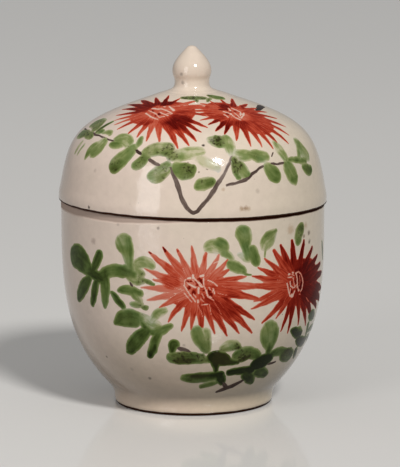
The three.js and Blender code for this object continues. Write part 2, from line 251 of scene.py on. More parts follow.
JAR_LEAVES_LOW = (
    (-8.3, 25.3, 1.2, -7.6, 27.5, 2.1, -6.8, 28.0, 1.9, 0.65),
    (-8.6, 22.4, 2.3, -3.0, 22.4, 2.9, 3.0, 22.2, 2.2, 0.50),
    (2.0, 22.4, 1.8, 4.0, 21.8, 1.7, 6.0, 21.2, 1.2, 0.38),
    (-7.6, 21.2, 1.0, -4.0, 21.4, 1.5, 0.6, 21.7, 1.2, 0.85),
    (-9.4, 23.4, 0.7, -8.9, 23.4, 0.9, -8.3, 23.5, 0.6, 0.15),
    (1.5, 32.8, 2.6, 2.8, 29.8, 2.8, 5.0, 25.6, 1.6, 0.34),
    (4.6, 32.8, 1.6, 5.4, 29.8, 1.6, 5.8, 26.0, 1.2, 0.28),
    (11.5, 26.0, 1.8, 14.3, 27.0, 2.3, 17.0, 26.6, 1.7, 0.24),
    (16.0, 26.8, 1.0, 17.3, 26.2, 1.3, 18.3, 25.4, 0.9, 0.65),
    (17.0, 22.6, 1.8, 21.5, 23.4, 2.8, 27.0, 21.8, 1.8, 0.50),
    (19.0, 20.6, 1.0, 20.8, 21.0, 1.4, 22.6, 21.6, 1.0, 0.85),
    (7.6, 22.6, 2.4, 10.3, 22.0, 3.1, 13.6, 20.6, 2.0, 1.00),
    (13.5, 20.3, 1.6, 16.0, 20.0, 1.4, 18.5, 19.7, 1.0, 0.85),
    (9.0, 20.0, 2.0, 9.3, 18.0, 1.3, 9.5, 16.2, 1.0, 1.00),
    (29.8, 32.0, 3.4, 30.9, 29.0, 4.3, 32.3, 24.6, 1.9, 0.34),
    (33.4, 31.0, 1.6, 33.4, 28.0, 1.8, 33.0, 24.8, 1.4, 0.45),
    (31.6, 25.8, 1.2, 32.0, 24.0, 1.6, 32.2, 22.2, 1.5, 0.62),
    (-4.0, 13.5, 1.9, 3.0, 13.6, 2.6, 10.0, 14.4, 2.2, 0.50),
    (-0.5, 14.2, 1.2, 5.0, 14.4, 1.8, 12.0, 14.8, 1.6, 1.00),
    (3.6, 9.2, 1.2, 6.5, 10.0, 1.4, 10.5, 11.0, 1.2, 0.45),
    (11.0, 14.5, 2.0, 12.3, 12.6, 2.4, 13.3, 10.8, 1.6, 0.92),
    (15.5, 15.4, 1.5, 20.0, 15.8, 2.0, 26.0, 15.6, 2.2, 0.95),
    (23.5, 13.6, 2.0, 26.5, 11.8, 2.5, 29.5, 9.2, 1.4, 0.75),
    (29.5, 14.0, 2.0, 33.0, 13.4, 2.5, 36.0, 12.0, 1.7, 0.68),
    (34.5, 21.5, 1.6, 38.5, 21.9, 2.0, 43.0, 20.6, 1.8, 0.60),
    (41.5, 20.2, 1.8, 45.0, 19.4, 3.2, 48.5, 18.3, 2.4, 0.65),
    (43.4, 21.8, 0.9, 44.8, 21.0, 1.2, 46.2, 20.2, 0.9, 0.90),
    (26.5, 18.0, 2.2, 30.0, 18.6, 3.6, 33.5, 19.6, 2.6, 1.00),
)
JAR_LEAVES_RIGHT = (
    (63.0, 58.6, 0.7, 64.2, 55.6, 1.3, 65.2, 52.2, 0.9, 0.88),
    (42.6, 29.8, 1.0, 46.0, 28.4, 2.2, 50.0, 27.2, 1.8, 0.97),
    (47.0, 29.6, 0.9, 48.4, 29.0, 1.2, 49.8, 28.4, 0.8, 0.57),
    (54.5, 33.2, 1.2, 57.5, 32.8, 2.3, 61.0, 31.8, 1.5, 0.77),
    (55.5, 30.0, 1.0, 56.5, 27.8, 1.3, 57.3, 25.6, 1.0, 0.72),
    (49.0, 25.0, 1.4, 54.0, 23.4, 2.2, 59.0, 22.6, 2.0, 1.00),
    (51.5, 20.5, 1.2, 53.0, 19.0, 1.5, 55.0, 16.8, 1.0, 0.92),
    (58.5, 27.0, 0.9, 63.0, 27.3, 1.6, 68.0, 26.2, 1.0, 0.72),
    (60.5, 24.5, 0.8, 65.5, 22.6, 1.5, 70.0, 19.5, 1.0, 0.87),
)
JAR_LEAVES_TOP = (
    (5.6, 62.6, 2.2, 7.2, 62.9, 2.6, 9.0, 62.6, 2.6, 0.18),
    (9.0, 63.8, 2.1, 9.9, 63.3, 2.5, 10.8, 62.4, 2.1, 0.41),
    (10.6, 60.8, 1.6, 12.0, 60.0, 1.5, 13.6, 58.2, 1.1, 0.24),
    (16.4, 59.6, 1.0, 18.0, 58.6, 1.3, 20.0, 57.6, 1.3, 0.16),
    (17.6, 67.0, 3.0, 18.3, 65.4, 2.9, 18.6, 62.5, 1.9, 0.34),
    (18.6, 63.4, 1.7, 19.1, 60.8, 1.8, 19.8, 58.6, 1.6, 0.38),
    (21.2, 60.8, 1.9, 22.0, 58.6, 2.2, 22.7, 56.6, 1.8, 0.44),
    (26.4, 62.2, 2.3, 27.4, 63.6, 2.8, 29.6, 65.8, 1.8, 0.22),
    (26.8, 65.2, 1.2, 28.4, 65.8, 1.5, 30.8, 66.7, 0.9, 0.46),
    (26.4, 60.5, 0.6, 26.2, 59.3, 0.45, 26.3, 58.0, 0.35, 0.46),
    (12.8, 56.6, 1.4, 15.2, 55.3, 2.1, 18.0, 53.8, 1.3, 0.38),
    (17.8, 53.2, 0.6, 19.2, 52.6, 0.5, 20.8, 52.3, 0.4, 0.71),
    (42.0, 63.0, 1.9, 43.0, 65.0, 2.6, 44.2, 66.4, 1.7, 0.38),
    (41.6, 61.6, 1.2, 42.3, 61.6, 1.4, 43.2, 62.2, 1.0, 0.56),
    (43.6, 66.6, 1.0, 44.2, 65.5, 1.2, 44.3, 64.0, 0.9, 0.54),
)
LID_LEAVES_LEFT = (
    (-42.8, -7.0, 2.0, -41.5, -10.5, 2.3, -39.8, -14.0, 1.7, 0.36),
    (-36.0, -8.5, 2.6, -34.6, -11.5, 3.3, -35.6, -15.5, 2.2, 0.34),
    (-39.6, -14.5, 1.6, -38.8, -17.0, 1.9, -38.0, -19.5, 1.4, 0.42),
    (-47.0, -17.2, 0.8, -44.6, -16.9, 1.1, -42.4, -16.8, 0.8, 0.24),
    (-46.2, -20.0, 0.7, -44.0, -20.0, 0.9, -41.8, -20.3, 0.7, 0.20),
    (-35.5, -19.0, 1.0, -32.5, -18.0, 1.3, -29.4, -17.3, 0.9, 0.60),
    (-34.8, -19.4, 0.9, -34.0, -20.6, 1.3, -33.2, -21.8, 0.9, 0.49),
    (-32.6, -22.8, 0.9, -30.8, -24.4, 1.3, -30.2, -26.6, 0.9, 0.28),
    (-42.8, -27.0, 1.0, -39.8, -26.4, 2.0, -37.0, -27.2, 2.0, 0.34),
    (-38.4, -28.6, 2.6, -36.0, -28.9, 3.3, -34.0, -28.4, 2.7, 0.26),
    (-30.6, -32.0, 1.0, -28.6, -33.8, 1.8, -26.6, -35.2, 1.5, 0.36),
    (-27.8, -31.2, 1.9, -25.6, -32.8, 2.8, -23.8, -35.8, 2.2, 0.24),
    (-31.0, -41.4, 3.2, -27.0, -40.8, 3.2, -22.6, -39.4, 2.3, 0.34),
    (-32.2, -41.6, 2.0, -30.8, -41.8, 2.7, -28.8, -41.9, 2.0, 0.52),
    (-20.4, -38.6, 1.2, -19.4, -37.4, 1.4, -18.6, -35.8, 0.9, 0.34),
    (-23.0, -45.8, 1.5, -20.5, -45.8, 2.2, -17.5, -44.8, 1.7, 0.32),
    (-18.0, -43.2, 1.8, -14.0, -42.8, 2.8, -9.0, -43.8, 2.8, 0.26),
    (-10.6, -44.8, 1.3, -8.6, -45.6, 1.7, -6.6, -47.0, 1.2, 0.40),
    (-17.2, -51.8, 1.8, -14.0, -52.0, 3.1, -10.2, -50.6, 2.4, 0.26),
    (-8.0, -46.8, 2.0, -3.0, -46.4, 2.6, 3.0, -45.6, 2.0, 0.14),
    (-6.6, -51.6, 2.4, -3.6, -52.6, 3.1, -1.0, -52.8, 2.5, 0.34),
    (-1.8, -53.4, 1.5, -0.4, -52.6, 1.9, 0.6, -51.6, 1.2, 0.50),
)
LID_LEAVES_RIGHT = (
    (1.8, -57.8, 1.3, 4.6, -57.0, 2.4, 8.4, -55.8, 1.7, 0.31),
    (6.2, -56.6, 1.2, 7.4, -56.1, 1.5, 8.8, -55.6, 1.1, 0.53),
    (2.5, -48.0, 1.8, 5.5, -49.5, 2.1, 10.0, -50.8, 1.5, 0.06),
    (6.4, -40.4, 1.4, 9.0, -40.4, 2.8, 11.5, -40.6, 2.6, 0.21),
    (12.4, -38.6, 1.9, 13.6, -41.2, 2.5, 14.8, -44.0, 1.6, 0.19),
    (8.7, -38.6, 1.2, 9.4, -40.2, 1.9, 10.2, -42.0, 1.4, 0.51),
    (17.0, -43.8, 1.6, 19.6, -43.4, 2.4, 22.0, -42.4, 2.0, 0.21),
    (23.0, -41.8, 1.8, 25.2, -41.2, 2.5, 28.6, -39.4, 1.9, 0.35),
    (16.0, -46.0, 1.4, 17.0, -48.4, 1.9, 18.0, -51.0, 1.4, 0.39),
    (18.6, -47.6, 1.8, 20.4, -48.8, 2.6, 22.4, -49.6, 1.9, 0.35),
    (17.8, -51.6, 0.8, 18.8, -51.8, 1.0, 19.9, -51.6, 0.8, 0.55),
    (31.0, -31.6, 1.4, 33.6, -33.0, 2.3, 36.6, -34.0, 2.0, 0.17),
    (38.6, -36.2, 2.2, 41.4, -36.6, 3.7, 44.0, -37.0, 2.7, 0.36),
    (43.6, -38.6, 1.2, 44.6, -37.2, 1.5, 45.0, -35.2, 1.1, 0.51),
    (30.4, -43.2, 2.0, 33.2, -43.4, 3.3, 35.4, -43.0, 2.6, 0.39),
    (40.4, -21.0, 2.2, 43.0, -22.5, 3.5, 45.6, -21.5, 3.0, 0.20),
    (41.0, -20.5, 1.2, 41.8, -24.0, 1.5, 43.0, -27.5, 1.3, 0.31),
    (46.6, -28.4, 1.4, 49.2, -26.4, 2.2, 50.6, -23.4, 1.5, 0.55),
    (46.5, -24.8, 1.1, 42.8, -29.0, 1.4, 38.6, -33.4, 1.0, 0.48),
    (6.0, -9.6, 1.2, 8.2, -10.2, 1.9, 10.4, -9.4, 1.4, 0.43),
    (-3.2, -12.4, 1.1, 0.6, -12.8, 1.7, 4.4, -12.4, 1.1, 0.41),
    (1.3, -14.0, 0.8, 1.6, -15.0, 0.8, 1.8, -15.8, 0.5, 0.35),
    (6.3, -12.3, 0.8, 5.8, -13.8, 0.8, 5.4, -15.0, 0.5, 0.35),
)

# Where the green is full of brown grains: (across, up, radius, strength)
JAR_GRAINS = (
    (-4.0, 21.8, 6.0, 0.90), (3.0, 23.0, 4.0, 0.80), (12.0, 22.0, 6.0, 0.60), (21.0, 21.4, 5.0, 0.90),
    (17.0, 26.0, 2.6, 0.80), (4.5, 28.5, 4.0, 0.35), (2.0, 13.8, 6.0, 0.60), (45.0, 19.5, 4.5, 0.60),
    (-24.0, 36.0, 6.0, 0.25), (-18.0, 41.5, 4.0, 0.60), (-17.0, 50.5, 4.0, 0.60),
    (-23.5, 52.5, 3.0, 0.40), (29.0, 65.8, 3.0, 0.30), (43.5, 65.0, 4.0, 0.60),
)
LID_GRAINS = (
    (9.2, -40.0, 3.6, 1.00), (17.2, -48.0, 4.0, 0.90), (-9.0, -45.5, 5.0, 0.80),
    (-14.5, -43.0, 4.5, 0.50), (-31.5, -41.5, 4.5, 0.60), (-1.5, -52.5, 4.5, 0.70),
    (-13.0, -52.0, 5.0, 0.60), (-20.0, -46.0, 4.0, 0.55), (-37.0, -14.0, 8.0, 0.70),
    (1.0, -12.5, 9.0, 0.90), (6.5, -56.4, 4.0, 0.50), (24.0, -41.5, 3.0, 0.30),
    (49.5, -26.0, 3.5, 0.60),
)

# Stems and twigs, as the leaves
JAR_STEMS = (
    (11.9, 5.9, 0.8, 15.5, 7.4, 1.2, 19.5, 8.6, 1.2, 0.55),
    (19.5, 8.6, 1.2, 21.5, 9.6, 1.0, 23.5, 11.0, 0.8, 0.65),
    (16.0, 8.2, 0.9, 14.6, 9.6, 0.9, 13.6, 11.0, 0.7, 0.60),
    (-5.6, 26.5, 0.6, -4.0, 26.0, 0.9, -1.5, 25.0, 0.5, 0.55),
    (34.0, 17.2, 0.5, 36.3, 17.1, 0.6, 38.8, 17.4, 0.4, 0.60),
    (-22.6, 49.8, 0.4, -22.2, 48.8, 0.6, -21.5, 47.6, 0.4, 0.60),
    (-21.0, 45.5, 0.4, -20.5, 44.2, 0.5, -19.8, 42.8, 0.4, 0.45),
    (-24.3, 57.8, 0.3, -24.1, 56.5, 0.4, -23.8, 55.0, 0.3, 0.60),
    (48.5, 27.0, 0.5, 50.5, 25.5, 0.6, 52.5, 24.5, 0.5, 0.70),
)
LID_STEMS = (
    (-40.6, -5.5, 0.40, -38.2, -15.3, 0.50, -34.4, -23.5, 0.45, 0.60),
    (-34.4, -23.5, 0.45, -30.8, -29.4, 0.45, -26.7, -34.7, 0.50, 0.58),
    (-26.7, -34.7, 0.50, -24.5, -37.0, 0.50, -22.4, -39.0, 0.60, 0.60),
    (-22.4, -39.0, 0.60, -20.6, -41.4, 0.70, -18.6, -43.6, 0.55, 0.72),
    (-18.6, -43.6, 0.60, -16.5, -46.2, 0.65, -14.4, -48.2, 0.60, 0.50),
    (-14.4, -48.2, 0.60, -11.5, -49.8, 0.65, -8.8, -50.8, 0.70, 0.45),
    (-8.8, -50.8, 0.90, -7.3, -54.7, 1.00, -5.6, -59.3, 1.00, 0.45),
    (-5.6, -59.3, 1.00, -4.0, -63.4, 0.95, -1.2, -66.2, 0.80, 0.45),
    (-1.2, -66.2, 0.80, 1.5, -66.7, 0.80, 4.7, -64.0, 0.85, 0.50),
    (4.7, -64.0, 0.85, 8.0, -60.6, 0.90, 11.2, -55.3, 0.90, 0.45),
    (11.2, -55.3, 0.90, 13.6, -50.8, 0.70, 15.6, -43.5, 0.45, 0.38),
    (38.6, -34.5, 0.50, 35.5, -37.8, 0.45, 31.8, -40.6, 0.45, 0.55),
    (31.8, -40.6, 0.45, 29.6, -42.6, 0.45, 27.6, -44.7, 0.50, 0.55),
    (27.6, -44.7, 0.50, 25.0, -48.2, 0.60, 22.6, -51.2, 0.85, 0.62),
    (22.6, -51.2, 0.85, 20.0, -53.2, 0.60, 14.7, -55.9, 0.45, 0.50),
    (25.6, -1.0, 1.20, 24.6, -6.5, 1.30, 23.4, -12.6, 0.50, 1.00),
    (30.9, -38.0, 0.25, 30.9, -37.0, 0.30, 31.0, -36.0, 0.25, 0.70),
)

# Flaws in the glaze: (across, up, radius, strength, colour). The knob has no canvas, so its own are points.
JAR_FLAWS = (
    (-38.8, 62.6, 1.5, 0.45, "#8C7468"),
    (-12.0, 69.2, 0.7, 0.70, "#7A6A60"),
    (-27.2, 69.6, 0.8, 0.40, "#9A8A80"),
    (-40.2, 19.8, 0.6, 0.80, "#4A3A30"),
    (-20.2, 12.4, 0.9, 0.75, "#6A5C50"),
    (-27.8, 16.0, 1.0, 0.30, "#8A7A6C"),
    (38.0, 66.3, 2.4, 0.50, "#B08E66"),
    (46.5, 66.6, 1.6, 0.50, "#A8865C"),
    (45.6, 63.0, 1.0, 0.70, "#6E5434"),
    (49.0, 63.9, 1.2, 0.80, "#54402A"),
    (49.4, 60.6, 1.1, 0.80, "#4E3C28"),
    (51.5, 57.5, 1.3, 0.70, "#4A4630"),
)
LID_FLAWS = (
    (4.1, -43.0, 0.7, 0.95, "#2E241C"),
    (5.9, -51.6, 0.6, 0.80, "#5C4636"),
    (2.6, -53.0, 0.5, 0.70, "#5C4636"),
    (-1.7, -49.7, 0.5, 0.70, "#5C4636"),
    (-51.0, -44.5, 0.8, 0.90, "#3A2C22"),
    (-40.6, -36.2, 0.9, 0.30, "#8A7A6C"),
    (13.4, -57.6, 0.9, 0.50, "#B09070"),
    (8.5, -60.5, 1.3, 0.40, "#C0A080"),
    (29.0, -53.0, 1.1, 0.35, "#9A8A7C"),
    (23.4, -61.8, 1.2, 0.70, "#A08262"),
    (25.0, -61.1, 1.2, 0.80, "#94765A"),
    (26.6, -60.6, 1.1, 0.55, "#A08262"),
)
KNOB_FLAWS = (
    ((-3.7, -5.8, 117.6), 0.8, 0.60, "#7E7268"),
    ((-3.3, -5.2, 114.6), 0.9, 0.60, "#80746A"),
)

# The painted sheets: each one's name, what it rides on, and what is painted in it
FLOWERS = (
    ("jar_flower_left", "jar", JAR_LEFT_CENTRE, JAR_LEFT_HEART, JAR_LEFT_TIPS,
     JAR_LEFT_SCRATCHES, JAR_LEFT_BLOTS),
    ("jar_flower_right", "jar", JAR_RIGHT_CENTRE, JAR_RIGHT_HEART, JAR_RIGHT_TIPS,
     JAR_RIGHT_SCRATCHES, JAR_RIGHT_BLOTS_AND_SHADE),
    ("lid_flower_left", "lid", LID_LEFT_CENTRE, LID_LEFT_HEART, LID_LEFT_TIPS,
     LID_LEFT_SCRATCHES, LID_LEFT_BLOTS),
    ("lid_flower_right", "lid", LID_RIGHT_CENTRE, LID_RIGHT_HEART, LID_RIGHT_TIPS,
     LID_RIGHT_SCRATCHES, LID_RIGHT_BLOTS),
)
LEAVES = (
    ("jar_leaves_left", "jar", JAR_LEAVES_LEFT),
    ("jar_leaves_low", "jar", JAR_LEAVES_LOW),
    ("jar_leaves_right", "jar", JAR_LEAVES_RIGHT),
    ("jar_leaves_top", "jar", JAR_LEAVES_TOP),
    ("lid_leaves_left", "lid", LID_LEAVES_LEFT),
    ("lid_leaves_right", "lid", LID_LEAVES_RIGHT),
)
STEMS = (("jar_stems", "jar", JAR_STEMS), ("lid_stems", "lid", LID_STEMS))
GRAINS = {"jar": JAR_GRAINS, "lid": LID_GRAINS}

# Where the glaze was wiped off, up from the table. The jar's lip has a darker band that reaches lower on
# its left half: it is bare clay, and also painted shadow of the lid's rim.
JAR_FOOT_WIPED_MM = 0.9
JAR_LEDGE_WIPED_MM = 71.35
JAR_LIP_BAND_AND_SHADOW_MM = 1.9
LIP_BAND_AND_SHADOW_ENDS_MM = (4.0, -26.0)  # from where the band starts, across from the axis, to where it is full
# Outside these radii the ledge keeps its burnt edge. That edge is near black, and it also paints the shade
# in the seam's gap.
LEDGE_BURNT_AND_SHADED_MM = (45.6, 44.6)  # the radii where the ledge starts to pale, and where it is all biscuit
LEDGE_PALES_MM = 1.2  # what that adds to the height, as if the ledge sloped up
BURNT_AND_SHADED_KEEPS_UP = 0.3  # the share of the lip's band that its burnt edge lies higher by
LID_RIM_WIPED_MM = 72.5

# From where to where each kind of bare clay comes in, up from the height where the glaze was wiped off. The
# burnt kinds are near black, and they also paint the shade in the seam's gap and under the foot.
LIP_AND_SHADOW_COMES_MM = (-0.35, 0.25)
LIP_BURNT_AND_SHADED_COMES_MM = (-0.55, -0.1)
LEDGE_COMES_MM = (0.7, 1.2)
FOOT_BURNT_AND_SHADED_COMES_MM = (0.12, -0.12)
FOOT_BISCUIT_COMES_MM = (-0.7, -1.1)

# The glaze and its patterns. A tint is what it does to red, green and blue.
CLOUD_MM = 22.2  # the width of the clouds in which it turns from rosy to sallow
CLOUD_REACH_MM = 90.0  # how far they move that turn to the left and right
ROSY_TO_SALLOW_MM = (20.0, 80.0)
ROSY_TINT = (1.0, 0.98, 0.98)
SALLOW_TINT = (0.96, 0.99, 0.93)
MOTTLE_MM = 2.5
MOTTLE_FROM_TO = (0.3, 0.7)
MOTTLE_TONES = (0.965, 1.03)
# The glaze turns darker and warmer towards the foot, partly for thick glaze and partly as painted shade of
# the lower belly.
THICK_AND_SHADED_BELOW_MM = (34.0, 14.0)  # where the glaze starts to lie thick, and where it lies thickest
THICK_AND_SHADED_TINT = (0.9, 0.87, 0.8)
DIMPLE_MM = 3.333
FINE_DIMPLE_MM = 0.909
FINE_DIMPLE_SHARE = 0.12  # how strong the fine dimples are against the others
DIMPLE_DEPTH_MM = 0.09
GLAZE_STEP = 3.0  # how far the glaze's edge steps down to bare clay, in dimples
GLAZE_IOR = 1.42
CLAY_IOR = 1.1
CLAY_ROUGHNESS = 0.6
WANDER_MM = 6.25  # the waves of a wiped edge
SOOT_MM = 0.4545  # the spots of a burnt edge
SOOT_TINT = (0.5, 0.5, 0.5)
SINGED_TINT = (2.0, 2.0, 2.0)
RAGGED_MM = 1.111  # the notches round a flaw
RAGGED_SHARE = 0.54  # how far they go in and out, against the flaw's radius
FLAW_CORE = 0.3  # the share of its radius over which a flaw keeps its strength
SPECK_STRENGTH = 0.8
SPECK_SIZES = (0.5, 1.6)  # the smallest and the largest, against their usual radius
# Iron specks: (how far apart their cells lie, the share of cells without one, radius, soft edge, colour)
IRON_SPECKS = (
    (5.263, 0.80, 0.10, 0.10, "#3A2A20"),
    (3.03, 0.88, 0.06, 0.06, "#2C2019"),
    (16.13, 0.72, 0.30, 0.50, "#A8988A"),
)

# How an enamel was brushed: streaks that long and that wide, how far their pattern moves on from stroke to
# stroke, and how strong the streaks and the blotches are
RED_BRUSH = (5.0, 0.4167, 7.3, 0.32, 0.16)
GREEN_BRUSH = (6.25, 1.111, 5.1, 0.18, 0.34)
BROWN_BRUSH = (3.333, 0.4545, 3.7, 0.20, 0.24)
BLOTCH_MM = 4.545
RED_LEAST = 0.26
GREEN_LEAST = 0.08
COAT_STEPS = 12
COATS_AT = (0.0, 0.25, 0.5, 1.0)  # the darkness of no coat, a thin one, a full one and a pool
BLUISH_MM = 7.692  # the bluish patches in the green
BLUISH_TINT = (0.85, 1.0, 1.25)
GRAIN_MM = 0.9524
GRAINY_TINT = (4.0, 3.6, 4.0)  # what lightens a grain's brown to the green that holds many

# The waves of an enamel's skin: their width, detail, strength, and depth in millimetres
RED_SKIN = (0.625, 1.0, 0.5, 0.03)
GREEN_SKIN = (2.0, 1.0, 0.7, 0.05)
BROWN_SKIN = (0.8333, 2.0, 0.7, 0.03)

# Fades: from where to where, and the share left at either end. One without shares goes from none to all.
# Most go by the depth inside the enamel's edge, in millimetres.
RED_THINS = (-0.05, 0.45, 0.4, 1.04)
GREEN_THINS = (-0.1, 1.0, 0.2, 1.0)
BROWN_THINS = (-0.1, 0.3, 0.3, 1.0)
PETALS_MEET = (0.0, 0.3, 1.0, 0.0)  # the pale line between petals, by the depth inside the upper one
MEETING_INSIDE = (0.2, 0.7, 0.0, 0.3)
MEETING_OUTWARDS = (2.0, 7.0, 0.45, 1.0)  # by the way from the petal's start, in millimetres
SCRATCH_LEAVES = (0.0, 1.0, 1.0, 0.1)  # by how much was scratched off
BLUISH_SHOWS = (0.48, 0.68, 0.0, 0.5)  # by the pattern
GRAINY_BROWN = (0.0, 1.0, 0.0, 0.3)  # by how full of grains the green is, as the next
GRAIN_LEVEL = (0.0, 1.0, 0.7, 0.42)
GRAIN_SHOWS = (0.0, 0.18, 0.0, 0.9)  # by how far the pattern lies over that level
GRAIN_INSIDE = (0.2, 0.8)
DRIED_STARTS = (0.0, 0.15)
DRIED_ENDS = (0.5, 0.15)
DRIED_WHERE_DARK = (0.3, 0.6, 0.0, 0.6)  # by the green's darkness

# The stage, in metres and degrees. A lamp stands that far right of the camera and that far up.
FLOOR_RADIUS = 9.0
FLOOR_SIDES = 96
FLOOR_GAP = 0.05 * MM
KEY_TOWARDS = (24.5, 41.0)
KEY_DISTANCE = 2.0
SOFT_BOX_TOWARDS = (-38.0, 15.0)
SOFT_BOX_DISTANCE = 1.2
SOFT_BOX_SIZE = (0.4, 0.8)
CAMERA_SEES = (0.01, 50.0)

# How the strokes are drawn
STROKE_STEPS = 12
LEAST_HALF_WIDTH_MM = 0.05
PETAL_SPREAD = 0.2  # a petal's half width a millimetre in from its tip
PETAL_CURVE = 0.8  # under 1, the petal widens fast near its tip, as a finger does
PETAL_HALF_WIDTH_MM = 1.9
PETAL_TIP_MM = 0.32
PETAL_START = 0.1  # where a petal starts, as a share of the way from the centre to its tip
PETAL_ORDER = 7  # every seventh petal is laid next, so that they lap over each other both ways
PETAL_WET_MM = 0.5  # how softly one stroke runs into the one below it
LEAF_WET_MM = 2.2
STEM_WET_MM = 0.6
WET_START_MM = 0.25  # how far outside its edge a stroke starts to tell
PETAL_UNSTEADY_MM = 0.1  # how far an edge strays
LEAF_UNSTEADY_MM = 0.12
STEM_UNSTEADY_MM = 0.12
SCRATCH_UNSTEADY_MM = 0.1
BLOT_UNSTEADY_MM = 0.4
UNSTEADY_WAVES = ((5.3, 1.0), (2.1, 0.3), (0.95, 0.08))  # each wave's length, and its share of the straying
SCRATCH_SOFTNESS_MM = 0.16
SCRATCH_TAKES = 0.8  # the share of the enamel's height that a scratch takes away

# How a sheet is cut and laid
OUTSIDE_MM = 5.0  # the depth given to a place that no stroke comes near
EDGE_ROUND_MM = 0.9  # how far in from its edge the enamel reaches its full height
EDGE_STANDS_MM = 0.006  # how far its edge stands over the glaze
SHEET_BACK_MM = 0.15  # how far the sheet reaches into the glaze
PULL_ROUNDS = 2
PULL_MOST = 0.6  # how far a round moves a place at most, in cells
SLOPE_LEAST = 0.3  # flatter than this, a stroke's edge isn't trusted to say which way it lies

# How the outlines are read and finished
MERGE = 1e-6
FOOT_FILLET_MM = 3.0  # how far from the foot's upper corner the belly starts to sweep into it
BEND_STEPS = 9
RIM_ROUND_MM = 1.95  # how far up the frame's lid has its lower edge rounded
RIM_REACH_MM = 7.0  # how far from the seam the uneven rims are felt
CORNER_ANGLE = math.radians(40)
CORNER_SHARE = 0.45  # the most that a corner's arc takes of the step before it and of the one after it
STRAIGHT_RATIO = 2.5  # a step this many times its neighbour's length keeps its own direction
ARC_POINTS = 5
ROUND_FROM_MM = 20.0  # the warp fades out inside this radius
# How the clay leans out of round: each wave's share, number round the jar, start, and twist per millimetre
WARP_WAVES = ((1.0, 2, 0.8, 0.0), (0.55, 3, 2.0, 1 / 40), (0.25, 1, 0.0, 1 / 6))
KNOB_FLARE_MM = 8.7  # the knob's own outline is kept inside this radius, and runs on to the lid outside it
KNOB_SKIRT_MM = ((12.4, -0.14), (11.6, -0.04), (10.8, 0.01), (10.0, 0.05), (9.4, 0.06))
KNOB_SUNK_MM = 0.8  # how far the knob's underside lies in the lid


def linear(hex_colour):
    """An sRGB colour such as '#B83A22' as linear red, green, blue and alpha."""
    channels = [int(hex_colour[i:i + 2], 16) / 255 for i in (1, 3, 5)]
    return tuple(c / 12.92 if c <= 0.04045 else ((c + 0.055) / 1.055) ** 2.4 for c in channels) + (1.0,)


def smooth_step(share):
    """0 below 0, 1 above 1 and an even curve between."""
    held = np.clip(share, 0, 1)
    return held * held * (3 - 2 * held)


def half_outline(node):
    """A CAD node's half section, as (radius, height) in millimetres, from its lower end on the axis."""
    mesh = bmesh.new()
    mesh.from_mesh(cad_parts[node].data)
    bmesh.ops.remove_doubles(mesh, verts=mesh.verts, dist=MERGE)
    section = {v for v in mesh.verts if abs(v.co.x) < MERGE and v.co.y < MERGE}
    walked = [min((v for v in section if v.co.y > -MERGE), key=lambda v: v.co.z)]
    while True:
        around = [edge.other_vert(walked[-1]) for edge in walked[-1].link_edges]
        onward = [v for v in around if v in section and v not in walked]
        if not onward:
            break
        walked.append(onward[0])
    points = np.array([(-v.co.y, v.co.z) for v in walked]) / MM
    mesh.free()
    if len(points) < 4 or points[-1][0] > MERGE / MM:
        raise RuntimeError(f"the half section of {node} doesn't run from the axis back to the axis")
    return points


def curve_directions(points):
    """The directions in which a smooth curve leaves and reaches each point. The two differ at a corner."""
    steps = np.diff(points, axis=0)
    lengths = np.hypot(*steps.T)
    ways = steps / lengths[:, None]
    leaving = [ways[0]]
    reaching = [ways[0]]
    for before, after, length, next_length in zip(ways, ways[1:], lengths, lengths[1:]):
        corner = math.acos(min(1.0, float(before @ after))) > CORNER_ANGLE
        blended = before * next_length + after * length
        blended = blended / np.hypot(*blended)
        if length > STRAIGHT_RATIO * next_length:
            blended = before
        elif next_length > STRAIGHT_RATIO * length:
            blended = after
        reaching.append(before if corner else blended)
        leaving.append(after if corner else blended)
    reaching.append(ways[-1])
    leaving.append(ways[-1])
    return leaving, reaching


def rounded_corners(points, corner):
    """Replaces each corner of an outline by a short arc that starts and ends the given way from it."""
    steps = np.diff(points, axis=0)
    lengths = np.hypot(*steps.T)
    made = [points[0]]
    for i in range(1, len(points) - 1):
        turn = math.acos(np.clip(steps[i - 1] @ steps[i] / (lengths[i - 1] * lengths[i]), -1, 1))
        if turn < CORNER_ANGLE:
            made.append(points[i])
            continue
        before = points[i] - steps[i - 1] * min(CORNER_SHARE, corner / lengths[i - 1])
        after = points[i] + steps[i] * min(CORNER_SHARE, corner / lengths[i])
        for t in np.linspace(0, 1, ARC_POINTS):
            made.append((1 - t) ** 2 * before + 2 * t * (1 - t) * points[i] + t**2 * after)
    made.append(points[-1])
    return np.array(made)


def fine_outline(points, step, corner):
    """Runs a smooth curve through an outline's points, in steps no longer than the one given."""
    leaving, reaching = curve_directions(points)
    fine = [points[0]]
    for i, (start, end) in enumerate(zip(points, points[1:])):
        length = np.hypot(*(end - start))
        count = max(1, math.ceil(length / step))
        for t in np.arange(1, count + 1) / count:
            curve = (
                (2 * t**3 - 3 * t**2 + 1) * start
                + (t**3 - 2 * t**2 + t) * length * leaving[i]
                + (3 * t**2 - 2 * t**3) * end
                + (t**3 - t**2) * length * reaching[i + 1]
            )
            fine.append(curve)
    return rounded_corners(np.array(fine), corner)


def porcelain_outline(node):
    """A CAD node's outline, made fine, in millimetres."""
    glaze = bpy.context.scene.jar_porcelain
    return fine_outline(half_outline(node), glaze.step / MM, glaze.corner / MM)


def lid_outline():
    """The dome's outline, with the crisp lower edge that trimming leaves."""
    points = half_outline("lid_dome")
    widest = points[:, 0].max()
    rounded = (points[:, 1] > SEAM_MM + MERGE / MM) & (points[:, 1] < SEAM_MM + RIM_ROUND_MM)
    rounded &= points[:, 0] > widest - RIM_ROUND_MM
    first = int(np.argmax(rounded))
    points = np.vstack([points[:first], [(widest, SEAM_MM)], points[first:][~rounded[first:]]])
    glaze = bpy.context.scene.jar_porcelain
    return fine_outline(points, glaze.step / MM, glaze.corner / MM)


